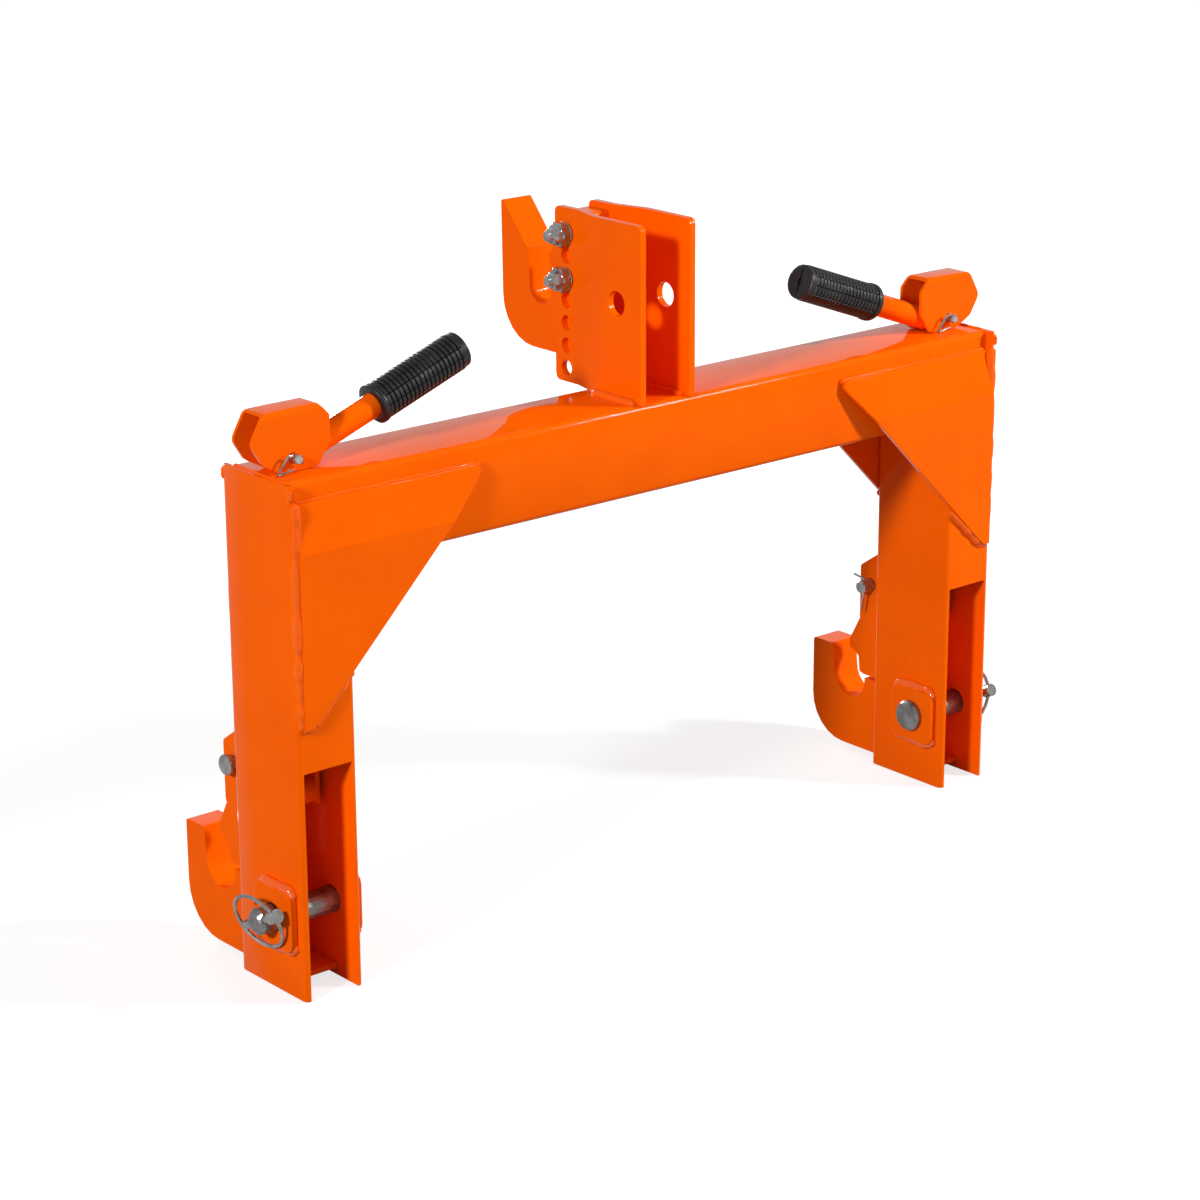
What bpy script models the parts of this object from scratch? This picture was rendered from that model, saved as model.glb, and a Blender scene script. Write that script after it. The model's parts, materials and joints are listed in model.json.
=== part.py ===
"""Three point quick hitch for a small tractor, built in metres, +Z up.

The hitch stands on its two legs. X runs across the tractor, the tractor is on the -Y side,
and the three implement hooks point to +Y. The origin is at floor level under the middle of
the whole hitch.
"""
import bmesh
import bpy
from math import acos, atan2, cos, hypot, pi, radians, sin, tan
from mathutils import Matrix, Vector

# Clearances
GAP = 0.0003
PIN_PLAY = 0.00025
SLIDE_PLAY = 0.001

# Roundness of turned and drilled shapes
ROUND_SEGMENTS = 20
SMALL_SEGMENTS = 14
FILLET_STEPS = 3
HOOK_FILLET_STEPS = 6
SLOT_STEPS = 10
GRIP_SEGMENTS = 16

# Frame
OVERALL_WIDTH = 0.760
LEG_WIDTH = 0.055
LEG_DEPTH = 0.0892
LEG_WALL = 0.005
LEG_CORNER = 0.0045
BEAM_TOP = 0.418
BEAM_HEIGHT = 0.075
BEAM_WALL = 0.005
BEAM_CORNER = 0.005
BEAM_SETBACK = 0.0082
BEAM_REAR_SETBACK = 0.0057
POCKET_TOP = 0.189

# Corner gussets, their slanted edge at 45 degrees
GUSSET_THICKNESS = 0.0045
GUSSET_BELOW_BEAM_TOP = 0.016
GUSSET_BEND_ABOVE_BEAM_BOTTOM = 0.021
GUSSET_FOOT_DROP = 0.118
GUSSET_EDGE_DROP = 0.131
GUSSET_TIP_ROUND = 0.005
GUSSET_FOOT_ROUND = 0.008

# Lower link pins and their boss plates
LINK_PIN_DIAMETER = 0.0222
LINK_PIN_INSET = 0.033
LINK_PIN_Z = 0.0645
LINK_HEAD_DIAMETER = 0.028
LINK_HEAD_THICKNESS = 0.006
LINK_PIN_PROUD = 0.0175
LINK_PIN_CHAMFER = 0.0035
BOSS_SIZE = 0.050
BOSS_THICKNESS = 0.0065
BOSS_CORNER = 0.008

# Linch pins through the link pins
LINCH_DIAMETER = 0.008
LINCH_END_DISTANCE = 0.0057
LINCH_TIP_REACH = 0.0235
LINCH_HEAD_DIAMETER = 0.0115
LINCH_HEAD_LENGTH = 0.009
LINCH_SLOPE = radians(26)
RING_RADIUS = 0.0245
RING_WIRE = 0.0032
RING_TILT = radians(22)
RING_SHIFT = 0.002
RING_EYE = 0.0052

# Lower hooks, Y sizes from the leg's back face
HOOK_THICKNESS = 0.030
LOWER_HOOK_ROOT = 0.0072
LOWER_HOOK_REACH = 0.0918
LOWER_HOOK_BOTTOM = 0.004
LOWER_HOOK_TIP_Z = 0.098
LOWER_HOOK_TIP_WIDTH = 0.025
LOWER_HOOK_HORN_Z = 0.0745
LOWER_HOOK_HEEL_RADIUS = 0.040
LOWER_HOOK_HORN_RADIUS = 0.006
LOWER_HOOK_FOOT_RADIUS = 0.004
HOOK_CORNER = 0.003
LOWER_SLOT_RADIUS = 0.020
LOWER_SLOT_REACH = 0.0433
LOWER_SLOT_Z = 0.072
SHELF_FRONT = 0.027
SHELF_TOP = 0.0115
SHELF_THICKNESS = 0.0045

# Latches, Y sizes from the leg's back face
LATCH_THICKNESS = 0.024
LATCH_PIVOT_REACH = 0.0158
LATCH_PIVOT_Z = 0.168
LATCH_SIDE_PLAY = 0.0006
LATCH_HORN_CLEARANCE = 0.002
LATCH_SLOT_MARGIN = 0.0003
LATCH_LIFT = 0.0315
LATCH_SLOT_WIDTH = 0.012
LATCH_ARM_DROP = 0.010
LATCH_ARM_HALF_HEIGHT = 0.011
LATCH_ARM_ROOT_BELOW = 0.024
LATCH_ARM_ROOT_ABOVE = 0.016
LATCH_ROOT_RADIUS = 0.010
LATCH_SHOULDER_RADIUS = 0.006
# Corners of the latch as (back, up, radius): throat and shoulder from its pivot,
# nose from the point below the pivot where the nose ends
LATCH_THROAT = (-0.0100, -0.0450, 0.010)
LATCH_NOSE = (
    (-0.0050, 0, 0.002), (0.0120, 0, 0.002), (0.0176, 0.0015, 0.002), (0.0190, 0.0165, 0.003),
    (0.0314, 0.0225, 0.003), (0.0310, 0.0305, 0.003), (0.0180, 0.0545, 0.010),
)
LATCH_SHOULDER = ((0.0135, 0.0100, 0.007), (-0.0020, 0.0160, 0.008))
LUG_THICKNESS = 0.0045
LUG_REACH = 0.0293
LUG_RISE_AT_LEG = 0.036
LUG_RISE_AT_TIP = 0.016
LUG_DROP_AT_TIP = 0.037
LUG_DROP_AT_LEG = 0.050
LUG_TOP_RADIUS = 0.004
LUG_BOTTOM_RADIUS = 0.006
REAR_SLOT_TOP = 0.196
LATCH_PIN_DIAMETER = 0.012
LATCH_PIN_HEAD_REACH = 0.022
LATCH_PIN_TAIL_REACH = 0.031
LATCH_COTTER_INSET = 0.0055
LATCH_HEAD_DIAMETER = 0.017
LATCH_HEAD_THICKNESS = 0.004

# Lift rods and springs
ROD_DIAMETER = 0.012
ROD_EYE_DIAMETER = 0.019
CHEEK_THICKNESS = 0.004
FORK_PIN_RISE = 0.012
BRIDGE_RISE = 0.020
BRIDGE_THICKNESS = 0.010
ROD_EYE_WIDTH = 0.016
CHEEK_DEPTH = 0.020
ROD_PIN_DIAMETER = 0.010
ROD_PIN_PROUD = 0.003
SPRING_SEAT_RISE = 0.016
SPRING_SEAT_THICKNESS = 0.004
SPRING_SEAT_DIAMETER = 0.028
SPRING_RADIUS = 0.010
SPRING_WIRE = 0.0026
SPRING_TURNS = 8
SPRING_POINTS_PER_TURN = 8

# Cam levers; the cam's outline is inward, up and fillet from the lever's pin
LEVER_PIN_RISE = 0.011
LEVER_PIN_DIAMETER = 0.008
LEVER_PIN_HEAD = 0.014
LEVER_PIN_HEAD_THICKNESS = 0.003
LEVER_PIN_TAIL = 0.008
LEVER_COTTER_TURN = radians(-35)
CAM_OUTLINE = (
    (0.0245, 0.0385, 0.004),
    (0.0345, 0.0280, 0.004),
    (0.0345, 0.0080, 0.006),
    (0.0230, -0.0105, 0.006),
    (-0.0105, -0.0105, 0.010),
    (-0.0275, -0.0015, 0.010),
    (-0.0382, 0.0155, 0.008),
    (-0.0255, 0.0375, 0.005),
)
CAM_TOP = 0.0385
CAM_WIDTH = 0.0266
CAM_PLATE = 0.003
CAM_BEND = 0.0045
BAR_DIAMETER = 0.020
BAR_SLOPE = radians(20)
BAR_START = 0.0181
BAR_END = 0.1765
BAR_DROP = 0.0067
GRIP_LENGTH = 0.090
GRIP_DIAMETER = 0.0285
GRIP_RIB_HEIGHT = 0.0009
GRIP_RIBS = 11
GRIP_FLANGE = 0.033
GRIP_FLANGE_LENGTH = 0.005
GRIP_END_WALL = 0.0035
GRIP_RIB_MARGIN = 0.002
GRIP_PLAIN_END = 0.006
GRIP_ROUNDING = 0.002

# Mast plates and adjustable top hook, Y sizes from the beam's front or back face
MAST_PLATE = 0.006
MAST_OVERHANG = 0.0012
MAST_REACH = 0.0405
MAST_HEIGHT = 0.147
MAST_FRONT_GAP = 0.0466
MAST_BEND_START = 0.020
MAST_BEND_END = 0.0115
MAST_CORNER = 0.005
TOP_LINK_HOLE = 0.0206
TOP_LINK_INSET = 0.0288
TOP_LINK_DROP = 0.067
BOLT_DIAMETER = 0.012
BOLT_ROW_REACH = 0.0265
BOLT_ROW_TOP_DROP = 0.0215
BOLT_ROW_BOTTOM_MARGIN = 0.011
BOLT_PLAY = 0.0005
BOLTS_USED = (0, 2)
BOLT_PITCH = 0.01887
NUT_FLATS = 0.019
NUT_THICKNESS = 0.0108
NUT_COLLAR = 0.0025
BOLT_HEAD_THICKNESS = 0.0075
BOLT_TAIL = 0.0045
WASHER_DIAMETER = 0.024
WASHER_THICKNESS = 0.0022
TOP_HOOK_ROOT = 0.0145
TOP_HOOK_SHANK_REACH = 0.0535
TOP_HOOK_SHANK_TOP_DROP = 0.005
TOP_HOOK_HORN_DROP = 0.038
TOP_HOOK_HORN_WIDTH = 0.015
TOP_HOOK_REACH = 0.119
TOP_HOOK_TIP_DROP = 0.004
TOP_HOOK_CHAMFER_DROP = 0.039
TOP_HOOK_CHAMFER_WIDTH = 0.034
TOP_HOOK_HEIGHT = 0.123
TOP_HOOK_HORN_RADIUS = 0.004
TOP_HOOK_TIP_RADIUS = 0.002
TOP_HOOK_BACK_LEAN = 0.0015
TOP_HOOK_SLOT_RADIUS = 0.014
TOP_HOOK_SEAT_DROP = 0.0845
TOP_HOOK_HEEL_RADIUS = 0.040

# Split pins
COTTER_WIRE = 0.002
COTTER_HOLE = 0.0028

# Worked out from the sizes above
GUSSET_PROUD = GUSSET_THICKNESS + GAP
BEAM_DEPTH = LEG_DEPTH - BEAM_SETBACK - BEAM_REAR_SETBACK
FRONT_Y = (GUSSET_PROUD - BEAM_SETBACK - BEAM_DEPTH - TOP_HOOK_REACH) / 2
BEAM_FRONT = FRONT_Y + BEAM_SETBACK
BEAM_BACK = BEAM_FRONT + BEAM_DEPTH
LEG_OUTER = OVERALL_WIDTH / 2
LEG_INNER = LEG_OUTER - LEG_WIDTH
LEG_X = LEG_OUTER - LEG_WIDTH / 2
CAVITY_OUTER = LEG_OUTER - LEG_WALL
CAVITY_INNER = LEG_INNER + LEG_WALL
CAVITY_WIDTH = CAVITY_OUTER - CAVITY_INNER
BEAM_BOTTOM = BEAM_TOP - BEAM_HEIGHT
BEAM_Y = (BEAM_FRONT + BEAM_BACK) / 2
GUSSET_TOP_Z = BEAM_TOP - GUSSET_BELOW_BEAM_TOP
GUSSET_BEND_Z = BEAM_BOTTOM + GUSSET_BEND_ABOVE_BEAM_BOTTOM
GUSSET_FOOT_Z = BEAM_BOTTOM - GUSSET_FOOT_DROP
GUSSET_EDGE_SUM = LEG_OUTER + BEAM_BOTTOM - GUSSET_EDGE_DROP
MAST_TOP = BEAM_TOP + MAST_HEIGHT
BOLT_HOLE = BOLT_DIAMETER + 2 * BOLT_PLAY
BOLT_ROW_LENGTH = MAST_HEIGHT - BOLT_ROW_TOP_DROP - BOLT_ROW_BOTTOM_MARGIN
BOLT_HOLES = int(BOLT_ROW_LENGTH / BOLT_PITCH) + 1
LEVER_PIN_Z = BEAM_TOP + LEVER_PIN_RISE
ROD_X = LEG_X
ROD_Y = BEAM_Y
ROD_PIN_Z = LATCH_PIVOT_Z - LATCH_ARM_DROP
LATCH_RUN = FRONT_Y + LEG_DEPTH + LATCH_PIVOT_REACH - ROD_Y
LATCH_DROOP = atan2(LATCH_ARM_DROP, LATCH_RUN)
LATCH_SLOT_START = LATCH_RUN - LATCH_SLOT_MARGIN
LATCH_SLOT_END = hypot(LATCH_RUN, LATCH_LIFT - LATCH_ARM_DROP) + LATCH_SLOT_MARGIN
LATCH_BOTTOM_DROP = LATCH_PIVOT_Z - LOWER_HOOK_HORN_Z - LATCH_HORN_CLEARANCE
FORK_TOP = ROD_PIN_Z + BRIDGE_RISE + BRIDGE_THICKNESS
SPRING_SEAT_Z = FORK_TOP + SPRING_SEAT_RISE
SIDES = (("left", -1), ("right", 1))

# Orientations: the outline's own x, y and thickness directions in the world
UPRIGHT_ACROSS = Matrix(((0, 0, 1), (1, 0, 0), (0, 1, 0)))
UPRIGHT_ALONG = Matrix(((1, 0, 0), (0, 0, -1), (0, 1, 0)))


def clear_scene():
    for item in list(bpy.data.objects):
        bpy.data.objects.remove(item, do_unlink=True)


def new_collection(name):
    found = bpy.data.collections.get(name) or bpy.data.collections.new(name)
    if name not in bpy.context.scene.collection.children:
        bpy.context.scene.collection.children.link(found)
    return found


def finish(name, colour, metallic, roughness):
    material = bpy.data.materials.new(name)
    material.use_nodes = True
    shader = material.node_tree.nodes["Principled BSDF"]
    shader.inputs["Base Color"].default_value = (*colour, 1.0)
    shader.inputs["Metallic"].default_value = metallic
    shader.inputs["Roughness"].default_value = roughness
    material.diffuse_color = (*colour, 1.0)
    return material


clear_scene()
PARTS = new_collection("three_point_quick_hitch")
CUTTERS = new_collection("cutters")
FINISHES = {
    "paint": ((0.93, 0.13, 0.003), 0.0, 0.3),
    "zinc": ((0.55, 0.56, 0.56), 1.0, 0.3),
    "steel": ((0.34, 0.34, 0.33), 1.0, 0.35),
    "spring": ((0.20, 0.20, 0.21), 1.0, 0.4),
    "grip": ((0.012, 0.012, 0.013), 0.0, 0.55),
}


def y_from_front(distance):
    """World Y of a size that is measured from the legs' front face."""
    return FRONT_Y + distance


def y_from_back(distance):
    """World Y of a size that is measured from the legs' back face."""
    return FRONT_Y + LEG_DEPTH + distance


def bolt_height(index):
    """World Z of a hole in the mast's row, counted from the top one."""
    return MAST_TOP - BOLT_ROW_TOP_DROP - index * BOLT_PITCH


# Outlines

def arc(centre, radius, start, end, steps):
    """Points on an arc, angles in radians, both ends included."""
    return [
        (centre[0] + radius * cos(start + (end - start) * i / steps),
         centre[1] + radius * sin(start + (end - start) * i / steps))
        for i in range(steps + 1)
    ]


def circle(centre, diameter, segments=ROUND_SEGMENTS):
    return arc(centre, diameter / 2, 0, 2 * pi * (segments - 1) / segments, segments - 1)


def rounded(corners, steps=FILLET_STEPS):
    """Outline through corners (x, y, fillet radius); a radius of 0 keeps the corner sharp."""
    outline = []
    count = len(corners)
    for i, (x, y, radius) in enumerate(corners):
        corner = Vector((x, y))
        if radius <= 0:
            outline.append((x, y))
            continue
        before = (Vector(corners[i - 1][:2]) - corner).normalized()
        after = (Vector(corners[(i + 1) % count][:2]) - corner).normalized()
        half = acos(max(-1.0, min(1.0, before.dot(after)))) / 2
        centre = corner + (before + after).normalized() * radius / sin(half)
        first = corner + before * radius / tan(half) - centre
        last = corner + after * radius / tan(half) - centre
        start = atan2(first.y, first.x)
        turn = (atan2(last.y, last.x) - start + pi) % (2 * pi) - pi
        outline += arc(centre, radius, start, start + turn, steps)
    return outline


def rectangle(left, right, bottom, top, radius=0.0):
    return rounded([(left, bottom, radius), (right, bottom, radius),
                    (right, top, radius), (left, top, radius)])


def strip(centreline, thickness):
    """Outline of a bent strip with mitred corners, from its middle line."""
    points = [Vector(point) for point in centreline]
    sides = ([], [])
    for i, point in enumerate(points):
        run_in = (point - points[i - 1]).normalized() if i else (points[1] - point).normalized()
        run_out = (points[i + 1] - point).normalized() if i + 1 < len(points) else run_in
        normal_in = Vector((-run_in.y, run_in.x))
        normal_out = Vector((-run_out.y, run_out.x))
        mitre = (normal_in + normal_out).normalized()
        reach = thickness / 2 / mitre.dot(normal_in)
        sides[0].append(tuple(point + mitre * reach))
        sides[1].append(tuple(point - mitre * reach))
    return sides[0] + sides[1][::-1]


# Objects

def place(item, collection, material=None):
    collection.objects.link(item)
    if material:
        item.data.materials.clear()
        item.data.materials.append(material)
    return item


def colour_of(name, kind):
    colour, metallic, roughness = FINISHES[kind]
    return finish(name + "_finish", colour, metallic, roughness)


def mesh_of(source):
    """Closed mesh of a curve object as the viewport shows it."""
    bpy.context.scene.collection.objects.link(source)
    graph = bpy.context.evaluated_depsgraph_get()
    mesh = bpy.data.meshes.new_from_object(source.evaluated_get(graph))
    bpy.data.objects.remove(source, do_unlink=True)
    shape = bmesh.new()
    shape.from_mesh(mesh)
    bmesh.ops.remove_doubles(shape, verts=shape.verts, dist=1e-6)
    bmesh.ops.recalc_face_normals(shape, faces=shape.faces)
    shape.to_mesh(mesh)
    shape.free()
    return mesh


def flat_mesh(name, outlines, thickness):
    """Flat shape from one outer outline and its holes, thickness centred on the outline."""
    curve = bpy.data.curves.new(name, "CURVE")
    curve.dimensions = "2D"
    curve.fill_mode = "BOTH"
    curve.extrude = thickness / 2
    for outline in outlines:
        spline = curve.splines.new("POLY")
        spline.points.add(len(outline) - 1)
        for point, (x, y) in zip(spline.points, outline):
            point.co = (x, y, 0, 1)
        spline.use_cyclic_u = True
    return mesh_of(bpy.data.objects.new(name, curve))


def wire_mesh(name, points, diameter, closed=False):
    """Round wire along a list of points."""
    curve = bpy.data.curves.new(name, "CURVE")
    curve.dimensions = "3D"
    curve.bevel_depth = diameter / 2
    curve.bevel_resolution = 2
    curve.use_fill_caps = not closed
    spline = curve.splines.new("POLY")
    spline.points.add(len(points) - 1)
    for point, position in zip(spline.points, points):
        point.co = (*position, 1)
    spline.use_cyclic_u = closed
    return mesh_of(bpy.data.objects.new(name, curve))


def turned_mesh(name, profile, segments=ROUND_SEGMENTS):
    """Solid of revolution about Z from (radius, height) points, top to bottom."""
    shape = bmesh.new()
    corners = [shape.verts.new((radius, 0, height)) for radius, height in profile]
    for upper, lower in zip(corners, corners[1:]):
        shape.edges.new((upper, lower))
    bmesh.ops.spin(shape, geom=shape.verts[:] + shape.edges[:], cent=(0, 0, 0), axis=(0, 0, 1),
                   angle=2 * pi, steps=segments, use_merge=True)
    bmesh.ops.remove_doubles(shape, verts=shape.verts, dist=1e-6)
    bmesh.ops.recalc_face_normals(shape, faces=shape.faces)
    mesh = bpy.data.meshes.new(name)
    shape.to_mesh(mesh)
    shape.free()
    return mesh


def ring_profile(inner, outer, bottom, top):
    """Closed profile of a washer or collar."""
    return [(inner, top), (outer, top), (outer, bottom), (inner, bottom), (inner, top)]


def along_axis(direction, centre):
    """Placement that turns a solid's own Z onto a direction."""
    turn = Vector((0, 0, 1)).rotation_difference(Vector(direction)).to_matrix()
    return Matrix.Translation(centre) @ turn.to_4x4()


def at(turn, centre):
    return Matrix.Translation(centre) @ turn.to_4x4()


def solid(name, mesh, matrix, kind, parent=None):
    item = place(bpy.data.objects.new(name, mesh), PARTS, colour_of(name, kind))
    item.matrix_world = matrix
    if parent:
        item.parent = parent
        item.matrix_parent_inverse = parent.matrix_world.inverted()
    return item


def cutter(name, mesh, matrix):
    item = place(bpy.data.objects.new(name, mesh), CUTTERS)
    item.matrix_world = matrix
    item.hide_render = True
    item.display_type = "WIRE"
    return item


def combine(item, operation, *others):
    for other in others:
        step = item.modifiers.new(other.name, "BOOLEAN")
        step.operation = operation
        step.solver = "EXACT"
        step.object = other


def cut(item, *others):
    combine(item, "DIFFERENCE", *others)


def drill(name, diameter, length, direction, centre, segments=ROUND_SEGMENTS):
    mesh = flat_mesh(name, [circle((0, 0), diameter, segments)], length)
    return cutter(name, mesh, along_axis(direction, centre))


def block(name, low, high):
    """Box cutter between two corners."""
    size = Vector(high) - Vector(low)
    middle = (Vector(high) + Vector(low)) / 2
    mesh = flat_mesh(name, [rectangle(-size.x / 2, size.x / 2, -size.y / 2, size.y / 2)], size.z)
    return cutter(name, mesh, Matrix.Translation(middle))


def smooth(item, angle=radians(35)):
    item.data.shade_smooth()
    item.data.set_sharp_from_angle(angle=angle)


def axis_empty(name, position):
    empty = bpy.data.objects.new(name, None)
    place(empty, PARTS)
    empty.matrix_world = Matrix.Translation(position)
    return empty


# Frame

def beam():
    half_depth = BEAM_DEPTH / 2
    outer = rectangle(-half_depth, half_depth, BEAM_BOTTOM, BEAM_TOP, BEAM_CORNER)
    inner = rectangle(-half_depth + BEAM_WALL, half_depth - BEAM_WALL,
                      BEAM_BOTTOM + BEAM_WALL, BEAM_TOP - BEAM_WALL, BEAM_CORNER - BEAM_WALL / 2)
    mesh = flat_mesh("beam", [outer, inner], 2 * (CAVITY_OUTER - GAP))
    tube = solid("beam", mesh, at(UPRIGHT_ACROSS, (0, BEAM_Y, 0)), "paint")
    for side, sign in SIDES:
        cut(tube, drill("rod_way_" + side, ROD_DIAMETER + 2 * SLIDE_PLAY, 2 * BEAM_HEIGHT,
                        (0, 0, 1), (sign * ROD_X, ROD_Y, BEAM_TOP - BEAM_HEIGHT / 2)))
    smooth(tube)


def leg(side, sign):
    """Rectangular tube with a link pocket in front, a hook slot behind and a notch for the beam."""
    back = FRONT_Y + LEG_DEPTH
    outer = rectangle(-LEG_WIDTH / 2, LEG_WIDTH / 2, FRONT_Y, back, LEG_CORNER)
    inner = rectangle(-CAVITY_WIDTH / 2, CAVITY_WIDTH / 2, FRONT_Y + LEG_WALL, back - LEG_WALL)
    height = BEAM_TOP
    mesh = flat_mesh("leg_" + side, [outer, inner], height)
    tube = solid("leg_" + side, mesh, Matrix.Translation((sign * LEG_X, 0, height / 2)), "paint")
    reach = sorted((sign * (LEG_INNER - LEG_WALL), sign * CAVITY_OUTER))
    pocket = sorted((sign * CAVITY_INNER, sign * CAVITY_OUTER))
    margin = LEG_WALL
    notch = block("beam_notch_" + side, (reach[0], FRONT_Y - margin, BEAM_BOTTOM - GAP),
                  (reach[1], back + margin, height + margin))
    mouth = block("link_pocket_" + side, (pocket[0], FRONT_Y - margin, -margin),
                  (pocket[1], FRONT_Y + 2 * margin, POCKET_TOP))
    hook_half = HOOK_THICKNESS / 2 + GAP
    latch_half = LATCH_THICKNESS / 2 + SLIDE_PLAY
    centre = sign * LEG_X
    hook_way = block("hook_way_" + side, (centre - hook_half, back - 2 * margin, -margin),
                     (centre + hook_half, back + margin, LOWER_HOOK_HORN_Z + GAP))
    latch_way = block("latch_way_" + side, (centre - latch_half, back - 2 * margin, -2 * margin),
                      (centre + latch_half, back + 2 * margin, REAR_SLOT_TOP))
    cut(tube, notch, mouth, hook_way, latch_way, link_hole("leg_link_hole_" + side, sign))
    smooth(tube)


def link_hole(name, sign):
    return drill(name, LINK_PIN_DIAMETER + 2 * PIN_PLAY, 2 * LEG_WIDTH, (1, 0, 0),
                 (sign * LEG_X, y_from_front(LINK_PIN_INSET), LINK_PIN_Z))


def boss(side, sign, name, x):
    """Square plate that thickens the leg round the link pin."""
    y = y_from_front(LINK_PIN_INSET)
    half = BOSS_SIZE / 2
    outline = rectangle(y - half, y + half, LINK_PIN_Z - half, LINK_PIN_Z + half, BOSS_CORNER)
    hole = circle((y, LINK_PIN_Z), LINK_PIN_DIAMETER + 2 * PIN_PLAY)
    mesh = flat_mesh(name, [outline, hole], BOSS_THICKNESS)
    plate = solid(name + "_" + side, mesh, at(UPRIGHT_ACROSS, (sign * x, 0, 0)), "paint")
    smooth(plate)


def gusset(side, sign, front):
    """Bent corner plate: flat on the leg, leaning onto the beam above its bend."""
    name = ("front_gusset_" if front else "rear_gusset_") + side
    outer = sign * (CAVITY_OUTER - GAP)
    outline = rounded([
        (outer, GUSSET_TOP_Z, 0),
        (sign * (GUSSET_EDGE_SUM - GUSSET_TOP_Z), GUSSET_TOP_Z, GUSSET_TIP_ROUND),
        (sign * (GUSSET_EDGE_SUM - GUSSET_FOOT_Z), GUSSET_FOOT_Z, GUSSET_FOOT_ROUND),
        (outer, GUSSET_FOOT_Z, 0),
    ])
    mesh = flat_mesh(name, [outline], GUSSET_THICKNESS)
    lean = BEAM_SETBACK if front else BEAM_REAR_SETBACK
    direction = -1 if front else 1
    shape = bmesh.new()
    shape.from_mesh(mesh)
    bmesh.ops.bisect_plane(shape, geom=shape.verts[:] + shape.edges[:] + shape.faces[:],
                           plane_co=(0, GUSSET_BEND_Z, 0), plane_no=(0, 1, 0))
    bmesh.ops.triangulate(shape, faces=shape.faces[:])
    for corner in shape.verts:
        share = max(0.0, (corner.co.y - GUSSET_BEND_Z) / (GUSSET_TOP_Z - GUSSET_BEND_Z))
        corner.co.z += direction * lean * share
    shape.to_mesh(mesh)
    shape.free()
    offset = GUSSET_THICKNESS / 2 + GAP
    y = FRONT_Y - offset if front else FRONT_Y + LEG_DEPTH + offset
    solid(name, mesh, at(UPRIGHT_ALONG, (0, y, 0)), "paint")


def shelf(side, sign):
    """Bottom plate across the leg, in front of the hook."""
    half = CAVITY_WIDTH / 2 - GAP
    outline = rectangle(-half, half, y_from_front(SHELF_FRONT), y_from_back(-LOWER_HOOK_ROOT) - GAP)
    mesh = flat_mesh("bottom_plate_" + side, [outline], SHELF_THICKNESS)
    z = SHELF_TOP - SHELF_THICKNESS / 2
    solid("bottom_plate_" + side, mesh, Matrix.Translation((sign * LEG_X, 0, z)), "paint")


# Lower hooks and latches

def lower_hook(side, sign):
    slot_y = y_from_back(LOWER_SLOT_REACH)
    back = y_from_back(LOWER_HOOK_REACH)
    front = y_from_back(-LOWER_HOOK_ROOT)
    seat = arc((slot_y, LOWER_SLOT_Z), LOWER_SLOT_RADIUS, 0, -pi, SLOT_STEPS)
    body = rounded([
        (slot_y - LOWER_SLOT_RADIUS, LOWER_HOOK_HORN_Z, 0),
        (front, LOWER_HOOK_HORN_Z, LOWER_HOOK_HORN_RADIUS),
        (front, LOWER_HOOK_BOTTOM, LOWER_HOOK_FOOT_RADIUS),
        (back, LOWER_HOOK_BOTTOM, LOWER_HOOK_HEEL_RADIUS),
        (back, LOWER_HOOK_TIP_Z, HOOK_CORNER),
        (back - LOWER_HOOK_TIP_WIDTH, LOWER_HOOK_TIP_Z, HOOK_CORNER),
    ], steps=HOOK_FILLET_STEPS)
    mesh = flat_mesh("lower_hook_" + side, [seat + body], HOOK_THICKNESS)
    hook = solid("lower_hook_" + side, mesh, at(UPRIGHT_ACROSS, (sign * LEG_X, 0, 0)), "paint")
    smooth(hook)


def latch_lug(side, sign, name, direction):
    """One of the two ears that carry the latch's pin behind the leg."""
    base = FRONT_Y + LEG_DEPTH + GAP
    back = y_from_back(LUG_REACH)
    pivot = (y_from_back(LATCH_PIVOT_REACH), LATCH_PIVOT_Z)
    outline = rounded([
        (base, LATCH_PIVOT_Z + LUG_RISE_AT_LEG, 0),
        (back, LATCH_PIVOT_Z + LUG_RISE_AT_TIP, LUG_TOP_RADIUS),
        (back, LATCH_PIVOT_Z - LUG_DROP_AT_TIP, LUG_BOTTOM_RADIUS),
        (base, LATCH_PIVOT_Z - LUG_DROP_AT_LEG, 0),
    ])
    hole = circle(pivot, LATCH_PIN_DIAMETER + 2 * PIN_PLAY)
    mesh = flat_mesh(name, [outline, hole], LUG_THICKNESS)
    x = sign * LEG_X + direction * (LATCH_THICKNESS / 2 + LATCH_SIDE_PLAY + LUG_THICKNESS / 2)
    plate = solid(name + "_" + side, mesh, at(UPRIGHT_ACROSS, (x, 0, 0)), "paint")
    smooth(plate)


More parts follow.
